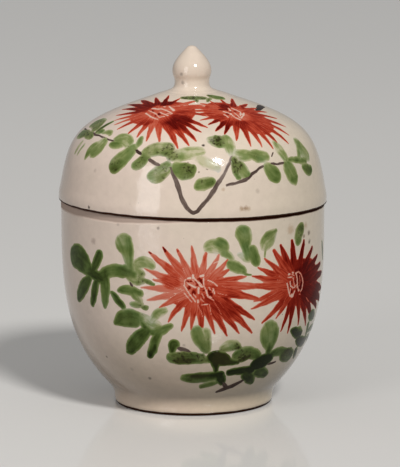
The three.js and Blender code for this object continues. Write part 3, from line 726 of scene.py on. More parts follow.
def swept_bend(outline, corner, reach):
    """Replaces the stretch of an outline that lies round a corner of it by one smooth bend."""
    walked = np.r_[0, np.cumsum(np.hypot(*np.diff(outline, axis=0).T))]
    middle = walked[np.argmin(np.hypot(*(outline - corner).T))]
    start, end = (
        np.array([np.interp(middle + way, walked, side) for side in outline.T]) for way in (-reach, reach)
    )
    t = np.linspace(0, 1, BEND_STEPS)[:, None]
    bend = (1 - t) ** 2 * start + 2 * t * (1 - t) * corner + t**2 * end
    return np.vstack([outline[walked < middle - reach], bend, outline[walked > middle + reach]])


def warp(azimuth, radius, height):
    """How far the fired clay leans at a place, outwards and upwards, in millimetres.

    It leans out of round, and the rims that meet at the seam are uneven: higher on the left."""
    clay = bpy.context.scene.jar_porcelain
    swing = 0
    for share, waves, start, twist in WARP_WAVES:
        swing = swing + share * np.sin(waves * azimuth + start + height * twist)
    outwards = clay.warp / MM * swing * np.clip(radius / ROUND_FROM_MM, 0, 1)
    near_seam = np.exp(-(((height - SEAM_MM) / RIM_REACH_MM) ** 2))
    upwards = (clay.rim_rise - clay.rim_slant * np.sin(azimuth)) / MM * near_seam
    return outwards, upwards


class Wall:
    """The outside of a turned piece, from its lowest painted place up. Lengths are millimetres."""

    def __init__(self, outline):
        steps = np.diff(outline, axis=0)
        self.radius, self.height = outline.T
        self.walked = np.r_[0, np.cumsum(np.hypot(*steps.T))]
        slope = np.gradient(outline, self.walked, axis=0)
        self.out, self.up = slope[:, 1], -slope[:, 0]

    def points(self, azimuth, along, lift):
        """Points at these azimuths and distances up the wall, lifted off it, in metres."""
        along = along - warp(azimuth, 0, np.interp(along, self.walked, self.height))[1]
        radius = np.interp(along, self.walked, self.radius)
        height = np.interp(along, self.walked, self.height)
        outwards, upwards = warp(azimuth, radius, height)
        radius = radius + outwards + lift * np.interp(along, self.walked, self.out)
        height = height + upwards + lift * np.interp(along, self.walked, self.up)
        return np.stack([radius * np.sin(azimuth), -radius * np.cos(azimuth), height], axis=1) * MM


def jar_outline():
    """The jar's outline, with a foot that sweeps into the belly."""
    outline = porcelain_outline("jar_body")
    corner = outline[np.argmax(outline[:, 1] >= PAINTED_FROM_MM - MERGE / MM)]
    return swept_bend(outline, corner, FOOT_FILLET_MM)


def jar_canvas():
    """The jar's wall, and where a place of its canvas lies on it, as if the foot met it in a corner."""
    wall, unswept = (
        Wall(outline[np.argmax(outline[:, 1] >= PAINTED_FROM_MM):np.argmax(outline[:, 1] >= SEAM_MM)])
        for outline in (jar_outline(), porcelain_outline("jar_body"))
    )
    wall.walked += unswept.walked[-1] - wall.walked[-1]
    return wall, lambda places: (places[:, 0] / WRAP_RADIUS_MM, places[:, 1])


def lid_canvas():
    """The lid's wall, and where a place of its canvas, which is flat round the axis, lies on it."""
    outline = lid_outline()
    first = int(np.argmax(outline[:, 0] >= outline[:, 0].max() - MERGE / MM))
    wall = Wall(outline[first:])
    top = wall.walked[-1]

    def lay(places):
        return np.arctan2(places[:, 0], -places[:, 1]), top - np.hypot(*places.T)

    return wall, lay


def new_piece(name, mesh, material, body, replaced=()):
    """Makes an object of a bmesh, and says what it rides on, what it is made of and what it stands for."""
    data = bpy.data.meshes.new(name)
    mesh.to_mesh(data)
    mesh.free()
    data.polygons.foreach_set("use_smooth", [True] * len(data.polygons))
    data.materials.append(material)
    piece = bpy.data.objects.new(name, data)
    bpy.context.scene.collection.objects.link(piece)
    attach(piece, body)
    if replaced:
        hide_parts(*replaced)
    return piece


def turned_mesh(outline, sides):
    """Spins an outline round the axis, notes each point's own height, and warps it as the kiln does."""
    mesh = bmesh.new()
    made_at = mesh.verts.layers.float.new("made_at")
    wire = [mesh.verts.new((0, -radius * MM, height * MM)) for radius, height in outline]
    edges = [mesh.edges.new(pair) for pair in zip(wire, wire[1:])]
    bmesh.ops.spin(
        mesh,
        geom=wire + edges,
        cent=(0, 0, 0),
        axis=(0, 0, 1),
        angle=2 * math.pi,
        steps=sides,
        use_merge=True,
    )
    bmesh.ops.remove_doubles(mesh, verts=mesh.verts, dist=MERGE)
    bmesh.ops.recalc_face_normals(mesh, faces=mesh.faces)
    for vert in mesh.verts:
        radius = math.hypot(vert.co.x, vert.co.y) / MM
        azimuth = math.atan2(vert.co.x, -vert.co.y)
        vert[made_at] = vert.co.z / MM
        outwards, upwards = warp(azimuth, radius, vert.co.z / MM)
        vert.co.x += outwards * MM * math.sin(azimuth)
        vert.co.y -= outwards * MM * math.cos(azimuth)
        vert.co.z += upwards * MM
    return mesh


def stroke_line(stroke):
    """A stroke's middle line and half widths, curved through its middle, and its darkness."""
    start, middle, end = np.array(stroke[:9]).reshape(3, 3)
    t = np.linspace(0, 1, STROKE_STEPS + 1)[:, None]
    line = start * (1 - t) * (1 - 2 * t) + middle * 4 * t * (1 - t) + end * t * (2 * t - 1)
    line[:, 2] = np.maximum(line[:, 2], LEAST_HALF_WIDTH_MM)
    return line, stroke[9]


def petal_line(centre, tip):
    """A petal's stroke from the flower's centre to its tip: even and broad, then tapering."""
    across, up, bend, tone, *blunt = tip
    reach = np.array((across, up)) - centre
    length = np.hypot(*reach)
    side = np.array((-reach[1], reach[0])) / length
    t = np.linspace(PETAL_START, 1, STROKE_STEPS + 1)[:, None]
    middle = np.array(centre) + t * reach + 4 * t * (1 - t) * bend * side
    half = (blunt or (PETAL_TIP_MM,))[0] + PETAL_SPREAD * ((1 - t) * length) ** PETAL_CURVE
    half = np.minimum(half, PETAL_HALF_WIDTH_MM)
    return np.hstack([middle, half]), tone


def flower_lines(centre, heart, tips):
    """A flower's solid heart and its petals, in the order in which they are laid."""
    petals = [petal_line(centre, tip) for tip in tips]
    order = sorted(range(len(tips)), key=lambda i: (i * PETAL_ORDER) % len(tips))
    return [stroke_line(heart)] + [petals[i] for i in order]


def over_line(places, line):
    """How deep places lie inside a stroke, and how far along and across it, in millimetres."""
    depth = np.full(len(places), -np.inf)
    along = np.zeros(len(places))
    across = np.zeros(len(places))
    walked = 0.0
    for start, end in zip(line, line[1:]):
        step = end[:2] - start[:2]
        length = max(np.hypot(*step), MERGE)
        from_start = places - start[:2]
        t = np.clip(from_start @ step / length**2, 0, 1)
        gap = from_start - t[:, None] * step
        inside = start[2] + t * (end[2] - start[2]) - np.hypot(*gap.T)
        better = inside > depth
        depth[better] = inside[better]
        along[better] = walked + t[better] * length
        across[better] = (step[0] * gap[better, 1] - step[1] * gap[better, 0]) / length
        walked += length
    return depth, along, across


def unsteady(places, reach):
    """Places moved about a little, as an unsteady hand and running enamel move a stroke's edge.

    The numbers inside the waves only keep them from lining up."""
    x, y = 2 * math.pi * places.T
    moved = np.zeros_like(places)
    for wave, share in UNSTEADY_WAVES:
        across = np.sin((0.8 * x + 0.6 * y) / wave + 1.3 * np.sin(y / wave / 1.7 + 2.1))
        up = np.cos((0.9 * y - 0.5 * x) / wave + 1.1 * np.sin(x / wave / 1.4 + 0.7))
        moved += share * np.stack([across, up], axis=1)
    return places + reach * moved


def lay_strokes(places, lines, wet):
    """Lays strokes one on another, each run that softly into those below, and gives what is left there."""
    left = {name: np.zeros(len(places)) for name in ("tone", "along", "across", "stroke")}
    left["depth"] = np.full(len(places), -OUTSIDE_MM)
    left["own_depth"] = np.full(len(places), -OUTSIDE_MM)
    laid_before = np.zeros(len(places))
    for number, (line, tone) in enumerate(lines):
        reach = line[:, 2].max() + WET_START_MM
        near = (places > line[:, :2].min(0) - reach) & (places < line[:, :2].max(0) + reach)
        near = np.flatnonzero(near.all(axis=1))
        depth, along, across = over_line(places[near], line)
        share = smooth_step((depth + WET_START_MM) / wet)
        under = laid_before[near] * (1 - share)
        left["tone"][near] = (share * tone + under * left["tone"][near]) / np.maximum(share + under, MERGE)
        laid_before[near] = share + under
        laid = (depth > 0) | (depth > left["depth"][near])
        top = near[laid]
        left["along"][top] = along[laid]
        left["across"][top] = across[laid]
        left["stroke"][top] = number
        left["own_depth"][top] = depth[laid]
        left["depth"][near] = np.maximum(left["depth"][near], depth)
    return left


def scratched(places, scratches):
    """1 in the middle of a line scratched through the enamel, and 0 away from one."""
    share = np.zeros(len(places))
    for start_across, start_up, end_across, end_up, half in scratches:
        line = np.array([(start_across, start_up, half), (end_across, end_up, half)])
        depth = over_line(places, line)[0]
        share = np.maximum(share, smooth_step(depth / SCRATCH_SOFTNESS_MM))
    return share


def blotted(tone, places, blots):
    """The darkness of places after darker blots have run into them."""
    for across, up, radius, darkness in blots:
        share = smooth_step(2 - 2 * np.hypot(*(places - (across, up)).T) / radius)
        tone = tone + (darkness - tone) * share
    return tone


def pulled_to_edge(places, depth_at, cell):
    """Moves places that lie near the strokes' edge on to it."""
    for _ in range(PULL_ROUNDS):
        depth = depth_at(places)
        probe = cell / 4
        slope = [depth_at(places + step) - depth for step in ((probe, 0), (0, probe))]
        slope = np.stack(slope, axis=1) / probe
        shift = slope * (-depth / np.maximum((slope**2).sum(axis=1), SLOPE_LEAST))[:, None]
        size = np.maximum(np.hypot(*shift.T), MERGE)
        places = places + shift * np.minimum(1, PULL_MOST * cell / size)[:, None]
    return places


def enamel_grid(lines, cell, margin):
    """A flat grid of cells that covers the strokes of a canvas with room to spare."""
    reaches = [(line[:, :2] - line[:, 2:], line[:, :2] + line[:, 2:]) for line, _ in lines]
    low = np.min([below.min(axis=0) for below, _ in reaches], axis=0) - margin
    high = np.max([above.max(axis=0) for _, above in reaches], axis=0) + margin
    columns, rows = (int(n) for n in np.ceil((high - low) / cell))
    mesh = bmesh.new()
    bmesh.ops.create_grid(mesh, x_segments=columns, y_segments=rows, size=0.5)
    bmesh.ops.scale(mesh, verts=mesh.verts, vec=(*(high - low), 1))
    bmesh.ops.translate(mesh, verts=mesh.verts, vec=(*((high + low) / 2), 0))
    mesh.verts.index_update()
    return mesh


def enamel_sheet(name, body, lines, look, scratches=(), blots=(), grains=()):
    """A sheet of enamel as high as it was laid, cut to its strokes and laid on a wall."""
    cell = bpy.context.scene.jar_enamel.cell / MM

    def lay_at(places):
        return lay_strokes(unsteady(places, look["unsteady"]), lines, look["wet"])

    def depth_at(places):
        return lay_at(places)["depth"]

    mesh = enamel_grid(lines, cell, cell + 2 * look["unsteady"])
    depth = depth_at(np.array([v.co.xy for v in mesh.verts]))
    bare = [face for face in mesh.faces if sum(depth[v.index] for v in face.verts) < 0]
    bmesh.ops.delete(mesh, geom=bare, context="FACES")
    places = np.array([v.co.xy for v in mesh.verts])
    edge = np.array([v.is_boundary for v in mesh.verts])
    places[edge] = pulled_to_edge(places[edge], depth_at, cell)

    left = lay_at(places)
    left["scratch"] = scratched(unsteady(places, SCRATCH_UNSTEADY_MM), scratches)
    height = look["height"] * (1 - SCRATCH_TAKES * left["scratch"])
    lift = EDGE_STANDS_MM + smooth_step(left["depth"] / EDGE_ROUND_MM) * height
    wall, lay = look["canvases"][body]
    azimuth, along = lay(places)
    for vert, point in zip(mesh.verts, wall.points(azimuth, along, lift)):
        vert.co = point
    for rim in mesh.edges:
        rim.smooth = not rim.is_boundary
    sheet = new_piece(name, mesh, look["material"], body)

    strayed = unsteady(places, BLOT_UNSTEADY_MM)
    left["tone"] = blotted(left["tone"], strayed, blots)
    left["grain"] = blotted(np.zeros(len(places)), strayed, grains)
    for attribute in ("tone", "depth", "own_depth", "scratch", "grain"):
        made = sheet.data.attributes.new(attribute, "FLOAT", "POINT")
        made.data.foreach_set("value", left[attribute].astype(np.float32))
    brush = np.stack([left["along"], left["across"], left["stroke"]], axis=1)
    made = sheet.data.attributes.new("brush", "FLOAT_VECTOR", "POINT")
    made.data.foreach_set("vector", brush.astype(np.float32).ravel())

    solid = sheet.modifiers.new("thickness", "SOLIDIFY")
    solid.thickness = (look["height"] + SHEET_BACK_MM) * MM
    solid.offset = -1


def enamel_look(material, slot, height, wet, unsteady_mm):
    """What all sheets of one enamel share: what it is, how high it lies, and how it runs and strays."""
    return {
        "material": material,
        "slot": slot,
        "height": height / MM,
        "wet": wet,
        "unsteady": unsteady_mm,
        "canvases": {"jar": jar_canvas(), "lid": lid_canvas()},
    }


def add_node(tree, kind, inputs=(), out=0, stops=None, **settings):
    """Adds a node with its settings, its ramp's stops and its links, and gives the output asked for.

    The inputs are values, or the sockets that feed them, in the node's own order or by name or number."""
    made = tree.nodes.new("ShaderNode" + kind)
    for name, value in settings.items():
        setattr(made, name, value)
    for name, value in (inputs if isinstance(inputs, dict) else dict(enumerate(inputs))).items():
        if isinstance(value, bpy.types.NodeSocket):
            tree.links.new(value, made.inputs[name])
        else:
            made.inputs[name].default_value = value
    if stops:
        ends = made.color_ramp.elements
        ends[0].position, ends[0].color = stops[0]
        ends[1].position, ends[1].color = stops[-1]
        for position, colour in stops[1:-1]:
            ends.new(position).color = colour
    return made.outputs[out] if made.outputs else None


def new_material(name):
    """An empty node material, what adds a node to it, and its Object coordinates in millimetres."""
    material = bpy.data.materials.new(name)
    material.use_nodes = True
    material.node_tree.nodes.clear()
    add = partial(add_node, material.node_tree)
    place = add("TexCoord", out="Object")
    return material, add, add("VectorMath", (place, (1 / MM,) * 3), operation="MULTIPLY")


def placed_flaws(canvas, flaws):
    """Flaws with their places on a canvas turned to points of its wall, in millimetres."""
    wall, lay = canvas
    azimuth, along = lay(np.array([flaw[:2] for flaw in flaws]))
    points = wall.points(azimuth, along, 0) / MM
    return [(tuple(point), *flaw[2:]) for point, flaw in zip(points, flaws)]


def tinted(colour, red=1, green=1, blue=1):
    """A colour with its red, green and blue each made that much stronger, and alpha."""
    return (colour[0] * red, colour[1] * green, colour[2] * blue, 1.0)


def clouded_glaze(add, mm, side, made_at):
    """The glaze's colour: rosy on the left, sallow on the right, mottled, and darker and warmer towards the
    foot, partly for thick glaze and partly as painted shade of the lower belly.
    """
    glaze = bpy.context.scene.jar_porcelain.glaze
    cloud = add("TexNoise", {"Vector": mm, "Scale": 1 / CLOUD_MM, "Detail": 3.0})
    cloud = add("Math", (cloud, CLOUD_REACH_MM, side), operation="MULTIPLY_ADD")
    share = add("MapRange", (cloud, *ROSY_TO_SALLOW_MM))
    inputs = {0: share, 6: tinted(glaze, *ROSY_TINT), 7: tinted(glaze, *SALLOW_TINT)}
    colour = add("Mix", inputs, 2, data_type="RGBA")
    mottle = add("TexNoise", {"Vector": mm, "Scale": 1 / MOTTLE_MM, "Detail": 5.0})
    mottle = add("MapRange", (mottle, *MOTTLE_FROM_TO, *MOTTLE_TONES))
    colour = add("VectorMath", (colour, mottle), operation="MULTIPLY")
    # Painted shade: darker and warmer towards the foot, partly for glaze that lies thick there and partly
    # for the shade of the lower belly.
    low = add("MapRange", (made_at, *THICK_AND_SHADED_BELOW_MM))
    thick = add("VectorMath", (colour, THICK_AND_SHADED_TINT), operation="MULTIPLY")
    return add("Mix", {0: low, 6: colour, 7: thick}, 2, data_type="RGBA")


def iron_specked(add, mm, colour):
    """A glaze with iron specks. Some cells of a pattern hold one, fine and dark or broad and faint."""
    for cell, empty, radius, soft, speck in IRON_SPECKS:
        apart = add("TexVoronoi", {"Vector": mm, "Scale": 1 / cell})
        draw = add("SeparateXYZ", (apart.node.outputs["Color"],))
        held = add("Math", (draw, empty), operation="GREATER_THAN")
        sizes = (radius * share for share in SPECK_SIZES)
        sized = add("MapRange", (draw.node.outputs[1], 0.0, 1.0, *sizes))
        apart = add("Math", (apart, cell), operation="MULTIPLY")
        apart = add("Math", (apart, sized), operation="SUBTRACT")
        share = add("MapRange", (apart, 0.0, soft, SPECK_STRENGTH, 0.0))
        share = add("Math", (share, held), operation="MULTIPLY")
        colour = add("Mix", {0: share, 6: colour, 7: linear(speck)}, 2, data_type="RGBA")
    return colour


def flawed(add, mm, colour, flaws):
    """A glaze with the flaws that the kiln left in known places, each with a ragged edge."""
    ragged = add("TexNoise", {"Vector": mm, "Scale": 1 / RAGGED_MM, "Detail": 3.0})
    ragged = add("MapRange", (ragged, 0.0, 1.0, -RAGGED_SHARE, RAGGED_SHARE))
    for point, radius, strength, stain in flaws:
        apart = add("VectorMath", (mm, point), "Value", operation="DISTANCE")
        apart = add("Math", (ragged, radius, apart), operation="MULTIPLY_ADD")
        share = add("MapRange", (apart, radius * FLAW_CORE, radius, strength, 0.0))
        colour = add("Mix", {0: share, 6: colour, 7: linear(stain)}, 2, data_type="RGBA")
    return colour


def bare_clay(add, mm, side, made_at, bare_below, bare_above):
    """The bare clay of wiped rims, whose colours also paint the shade in the seam's gap and under the foot,
    and the lid's shadow on the lip: a level, from where to where on it each clay comes in, and its colour.

    The level is the height that a place was made at, with an edge that wanders a little."""
    settings = bpy.context.scene.jar_porcelain
    wander = settings.wander / MM
    height = add("TexNoise", {"Vector": mm, "Scale": 1 / WANDER_MM, "Detail": 2.0})
    height = add("Math", (height, wander, made_at), operation="MULTIPLY_ADD")
    height = add("Math", (height, wander / 2), operation="SUBTRACT")
    # Painted shade: the burnt edge is near black, both for scorched clay and for the shade in the seam's
    # gap and under the foot.
    sooty = add("TexNoise", {"Vector": mm, "Scale": 1 / SOOT_MM, "Detail": 3.0})
    black, brown = tinted(settings.burnt_and_shaded, *SOOT_TINT), tinted(settings.burnt_and_shaded, *SINGED_TINT)
    burnt_and_shaded = add("Mix", {0: sooty, 6: black, 7: brown}, 2, data_type="RGBA")
    flashed_and_shadowed, biscuit = tinted(settings.flashed_and_shadowed), tinted(settings.biscuit)
    rims = []
    if bare_above is not None:
        # Painted shadow: the lip's band reaches lower to the left. It stands for flashed bare clay and for
        # the shadow that the lid's rim casts there.
        lower = add("MapRange", (side, *LIP_BAND_AND_SHADOW_ENDS_MM, 0.0, JAR_LIP_BAND_AND_SHADOW_MM))
        lip = add("Math", (height, lower))
        edge = add("Math", (lower, -BURNT_AND_SHADED_KEEPS_UP, height), operation="MULTIPLY_ADD")
        inner = add("VectorMath", (mm, (1, 1, 0)), operation="MULTIPLY")
        inner = add("VectorMath", (inner,), "Value", operation="LENGTH")
        inner = add("MapRange", (inner, *LEDGE_BURNT_AND_SHADED_MM, 0.0, LEDGE_PALES_MM))
        inner = add("Math", (inner, height))
        rims += [
            (lip, bare_above, LIP_AND_SHADOW_COMES_MM, flashed_and_shadowed),
            (edge, bare_above, LIP_BURNT_AND_SHADED_COMES_MM, burnt_and_shaded),
            (inner, bare_above, LEDGE_COMES_MM, biscuit),
        ]
    if bare_below is not None:
        rims += [
            (height, bare_below, FOOT_BURNT_AND_SHADED_COMES_MM, burnt_and_shaded),
            (height, bare_below, FOOT_BISCUIT_COMES_MM, biscuit),
        ]
    return [(level, wiped + none, wiped + full, clay) for level, wiped, (none, full), clay in rims]


def glazed_porcelain(name, flaws=(), bare_below=None, bare_above=None):
    """White porcelain, thrown, dipped in a clear glaze, and fired standing on its wiped rims.

    The glaze is a glassy, faintly dimpled skin, rosier on one side, with iron specks fired into it.
    Where it was wiped off, the clay is dry: scorched nearly black next to the glaze, and pale further in.
    That near black also paints the shade in the seam's gap and under the foot.
    The glaze's IOR starts from 1.5, and 1.42 matches how little it mirrors. Dry clay mirrors nothing."""
    material, add, mm = new_material(name)
    side = add("SeparateXYZ", (mm,))
    made_at = add("Attribute", out="Fac", attribute_name="made_at")
    colour = clouded_glaze(add, mm, side, made_at)
    colour = iron_specked(add, mm, colour)
    colour = flawed(add, mm, colour, flaws)
    bare = 0.0
    for level, none, full, clay in bare_clay(add, mm, side, made_at, bare_below, bare_above):
        share = add("MapRange", (level, none, full))
        colour = add("Mix", {0: share, 6: colour, 7: clay}, 2, data_type="RGBA")
        bare = add("Math", (bare, share), operation="MAXIMUM")
    roughness = bpy.context.scene.jar_porcelain.roughness
    gloss = add("MapRange", (bare, 0.0, 1.0, roughness, CLAY_ROUGHNESS))
    index = add("MapRange", (bare, 0.0, 1.0, GLAZE_IOR, CLAY_IOR))

    # The glaze's skin is dimpled, and ends in a low step at a wiped rim
    fine = add("TexNoise", {"Vector": mm, "Scale": 1 / FINE_DIMPLE_MM, "Detail": 1.0})
    skin = add("TexNoise", {"Vector": mm, "Scale": 1 / DIMPLE_MM, "Detail": 2.0})
    skin = add("Math", (fine, FINE_DIMPLE_SHARE, skin), operation="MULTIPLY_ADD")
    skin = add("Math", (bare, -GLAZE_STEP, skin), operation="MULTIPLY_ADD")
    bump = add("Bump", {"Height": skin, "Strength": 1.0, "Distance": DIMPLE_DEPTH_MM * MM})
    inputs = {"Base Color": colour, "Roughness": gloss, "IOR": index, "Normal": bump}
    shader = add("BsdfPrincipled", inputs)
    add("OutputMaterial", (shader,))
    return material


def coats_over_glaze(thin, full, deep):
    """The colours of an enamel over the glaze: none at 0, then a thin coat, a full one, and a pool at 1.

    Between them, each equal step of thickness lets the same share of light through, as in glass."""
    glaze = bpy.context.scene.jar_porcelain.glaze
    known = np.log([tuple(colour) for colour in (glaze, thin, full, deep)])
    stops = []
    for tone in np.linspace(0, 1, COAT_STEPS + 1):
        colour = [math.exp(np.interp(tone, COATS_AT, known[:, i])) for i in range(3)]
        stops.append((float(tone), (*colour, 1.0)))
    return stops


def brushed_tone(add, mm, length, width, moves_on, streak_strength, blotch_strength):
    """How thick an enamel is: as the brush left it, streaked along the stroke and blotched."""
    brush = add("Attribute", out="Vector", attribute_name="brush")
    drawn_out = add("VectorMath", (brush, (1 / length, 1 / width, moves_on)), operation="MULTIPLY")
    tone = add("Attribute", out="Fac", attribute_name="tone")
    for place, scale, detail, strength in (
        (drawn_out, 1.0, 3.0, 2 * streak_strength),
        (mm, 1 / BLOTCH_MM, 4.0, 2 * blotch_strength),
    ):
        share = add("TexNoise", {"Vector": place, "Scale": scale, "Detail": detail})
        share = add("Math", (share, 0.5), operation="SUBTRACT")
        tone = add("Math", (share, strength, tone), operation="MULTIPLY_ADD")
    return tone


def faded(add, value, *fades):
    """A value that each fade in turn weakens: what it goes by, from where to where, and the share left."""
    for by, *between in fades:
        share = add("MapRange", (by, *between))
        value = add("Math", (value, share), operation="MULTIPLY")
    return value


def fired_enamel(add, mm, colour, skin, roughness, index):
    """Ends an enamel's material with its wavy skin."""
    width, detail, strength, depth = skin
    waves = add("TexNoise", {"Vector": mm, "Scale": 1 / width, "Detail": detail})
    bump = add("Bump", {"Height": waves, "Strength": strength, "Distance": depth * MM})
    inputs = {"Base Color": colour, "Roughness": roughness, "IOR": index, "Normal": bump}
    shader = add("BsdfPrincipled", inputs)
    add("OutputMaterial", (shader,))


def iron_red_enamel():
    """Iron-red enamel, brushed on over the glaze and fired low: thin, streaked along the petals, half matt.

    It is pale where two petals' edges meet, orange where it thins out, and gone where it was scratched.
    It hardly shows the room: it starts from an IOR of 1.5, and 1.09 with a roughness of 0.35 matches it."""
    colours = bpy.context.scene.jar_enamel
    material, add, mm = new_material("iron_red_enamel_brushed")
    depth = add("Attribute", out="Fac", attribute_name="depth")
    own_depth = add("Attribute", out="Fac", attribute_name="own_depth")
    scratch = add("Attribute", out="Fac", attribute_name="scratch")
    brush = add("Attribute", out="Vector", attribute_name="brush")
    tone = brushed_tone(add, mm, *RED_BRUSH)
    tone = add("Math", (tone, RED_LEAST), operation="MAXIMUM")

    # Paler lines where petals meet, mostly in their outer half
    along = add("SeparateXYZ", (brush,))
    meeting = add("MapRange", (own_depth, *PETALS_MEET))
    meeting = faded(add, meeting, (depth, *MEETING_INSIDE), (along, *MEETING_OUTWARDS))
    tone = add("Math", (tone, meeting), operation="SUBTRACT")
    tone = faded(add, tone, (depth, *RED_THINS), (scratch, *SCRATCH_LEAVES))
    stops = coats_over_glaze(colours.red_thin, colours.red, colours.red_deep)
    colour = add("ValToRGB", (tone,), stops=stops)
    fired_enamel(add, mm, colour, RED_SKIN, roughness=0.35, index=1.09)
    return material


def copper_green_enamel():
    """Copper-green enamel, washed on over the glaze as drops of glass: deep in pools, yellow where thin.

    It has grains of brown, bluish patches, and a thin brown line where a deep wash dried at its edge.
    It starts from an IOR of 1.5, and 1.16 matches it: the room greys its dark pools only a little."""
    colours = bpy.context.scene.jar_enamel
    material, add, mm = new_material("copper_green_enamel_fired")
    depth = add("Attribute", out="Fac", attribute_name="depth")
    tone = brushed_tone(add, mm, *GREEN_BRUSH)
    tone = add("Math", (tone, GREEN_LEAST), operation="MAXIMUM")
    tone = faded(add, tone, (depth, *GREEN_THINS))
    stops = coats_over_glaze(colours.green_thin, colours.green, colours.green_deep)
    colour = add("ValToRGB", (tone,), stops=stops)

    # Bluish patches
    patches = add("TexNoise", {"Vector": mm, "Scale": 1 / BLUISH_MM, "Detail": 2.0})
    patches = add("MapRange", (patches, *BLUISH_SHOWS))
    blued = add("VectorMath", (colour, BLUISH_TINT), operation="MULTIPLY")
    colour = add("Mix", {0: patches, 6: colour, 7: blued}, 2, data_type="RGBA")

    # Brown grains, close together where the green is full of them, and the brown line of a dried edge
    grains = add("TexNoise", {"Vector": mm, "Scale": 1 / GRAIN_MM, "Detail": 4.0})
    grained = add("Attribute", out="Fac", attribute_name="grain")
    browned = add("MapRange", (grained, *GRAINY_BROWN))
    inputs = {0: browned, 6: colour, 7: tinted(colours.green_grain, *GRAINY_TINT)}
    colour = add("Mix", inputs, 2, data_type="RGBA")
    level = add("MapRange", (grained, *GRAIN_LEVEL))
    grains = add("Math", (grains, level), operation="SUBTRACT")
    grains = add("MapRange", (grains, *GRAIN_SHOWS))
    grains = faded(add, grains, (depth, *GRAIN_INSIDE))
    dried = add("MapRange", (depth, *DRIED_ENDS))
    dried = faded(add, dried, (tone, *DRIED_WHERE_DARK), (depth, *DRIED_STARTS))
    for share in (grains, dried):
        inputs = {0: share, 6: colour, 7: tinted(colours.green_grain)}
        colour = add("Mix", inputs, 2, data_type="RGBA")
    fired_enamel(add, mm, colour, GREEN_SKIN, roughness=0.14, index=1.16)
    return material


def brown_line_enamel():
    """Brown-black enamel of the stems, drawn with a loaded brush: mauve where thin, nearly black in pools.

    It starts from an IOR of 1.5, and 1.12 matches its weak shine."""
    colours = bpy.context.scene.jar_enamel
    material, add, mm = new_material("brown_line_enamel_drawn")
    depth = add("Attribute", out="Fac", attribute_name="depth")
    tone = brushed_tone(add, mm, *BROWN_BRUSH)
    tone = faded(add, tone, (depth, *BROWN_THINS))
    stops = coats_over_glaze(colours.brown_thin, colours.brown, colours.brown_deep)
    colour = add("ValToRGB", (tone,), stops=stops)
    fired_enamel(add, mm, colour, BROWN_SKIN, roughness=0.24, index=1.12)
    return material


def pale_floor():
    """Pale lacquered board. It lights the jar as a darker table does, as the jar's lower wall asks."""
    settings = bpy.context.scene.jar_studio
    material, add, _ = new_material("pale_lacquered_board")
    path = add("LightPath", out="Is Camera Ray")
    seen = add("Math", (path, path.node.outputs["Is Glossy Ray"]), operation="MAXIMUM")
    seen = add("Math", (seen, path.node.outputs["Is Transmission Ray"]), operation="MAXIMUM")
    table, floor = tinted(settings.table), tinted(settings.floor)
    colour = add("Mix", {0: seen, 6: table, 7: floor}, 2, data_type="RGBA")
    board = add("BsdfPrincipled", {"Base Color": colour, "Roughness": 0.08, "IOR": 1.5})
    clear = add("BsdfTransparent")
    under = add("NewGeometry", out="Backfacing")
    shader = add("MixShader", (under, board, clear))
    add("OutputMaterial", (shader,))
    return material


def length_setting(name, description, default):
    """A length in the panel, its default in millimetres."""
    default *= MM
    return FloatProperty(name=name, description=description, default=default, unit="LENGTH", precision=5)


def angle_setting(name, description, default):
    """An angle in the panel, its default in degrees."""
    default = math.radians(default)
    return FloatProperty(name=name, description=description, default=default, subtype="ANGLE")


def colour_setting(name, description, default):
    """A colour in the panel, its default an sRGB hex value."""
    default = linear(default)[:3]
    return FloatVectorProperty(name=name, description=description, default=default, subtype="COLOR")


class PorcelainSettings(bpy.types.PropertyGroup):
    """How the jar and the lid are turned, warped and glazed."""

    sides: IntProperty(name="Sides", description="Facets round a piece", default=256, min=24, max=512)
    step: length_setting("Step", "Longest step along an outline", 0.9)
    corner: length_setting("Corner", "How far an outline's corners are rounded", 0.3)
    warp: length_setting("Warp", "How far the kiln leans the clay out of round", 0.09)
    wander: length_setting("Wander", "How far the glaze's wiped edge wanders up and down", 0.5)
    roughness: FloatProperty(name="Roughness", description="Of the glaze", default=0.1, subtype="FACTOR")
    rim_rise: length_setting("Rim rise", "How far the rims lie over their level in the frame", 0.58)
    rim_slant: length_setting("Rim slant", "How far the rims rise to the left and drop to the right", 0.85)
    glaze: colour_setting("Glaze", "White clay seen through the glaze", "#DECCBC")
    # The burnt edge's near black also paints the shade in the seam's gap and under the foot.
    burnt_and_shaded: colour_setting("Burnt edge", "Bare clay next to the glaze", "#34180C")
    biscuit: colour_setting("Biscuit", "Bare clay away from the glaze", "#C4AE96")
    # The flashed clay's colour also paints the lid's shadow on the lip's left half.
    flashed_and_shadowed: colour_setting("Flashed clay", "Bare clay of the lip", "#B8A294")


class EnamelSettings(bpy.types.PropertyGroup):
    """How high the enamels lie on the glaze, how finely they are cut, and their colours over it."""

    cell: length_setting("Cell", "Width of an enamel sheet's faces", 0.25)
    red_height: length_setting("Red height", "How high the red lies", 0.04)
    green_height: length_setting("Green height", "How high the green lies", 0.05)
    brown_height: length_setting("Brown height", "How high the stems lie", 0.07)
    red_thin: colour_setting("Red, thin", "Where the red is thin", "#C8745F")
    red: colour_setting("Red", "An even coat of red", "#B3422B")
    # The deep red is also as dark as the painted shade on the right side of the jar's right flower.
    red_deep: colour_setting("Red, deep", "Where the red pools", "#4E0502")
    green_thin: colour_setting("Green, thin", "Where the green is thin", "#7E8852")
    green: colour_setting("Green", "An even coat of green", "#546630")
    green_deep: colour_setting("Green, deep", "Where the green pools", "#182004")
    green_grain: colour_setting("Grains", "Brown grains in the green", "#2C2814")
    brown_thin: colour_setting("Brown, thin", "Where a stem is thin", "#94857A")
    brown: colour_setting("Brown", "An even line of a stem", "#5C4C44")
    brown_deep: colour_setting("Brown, deep", "Where a stem's line pools", "#281C18")


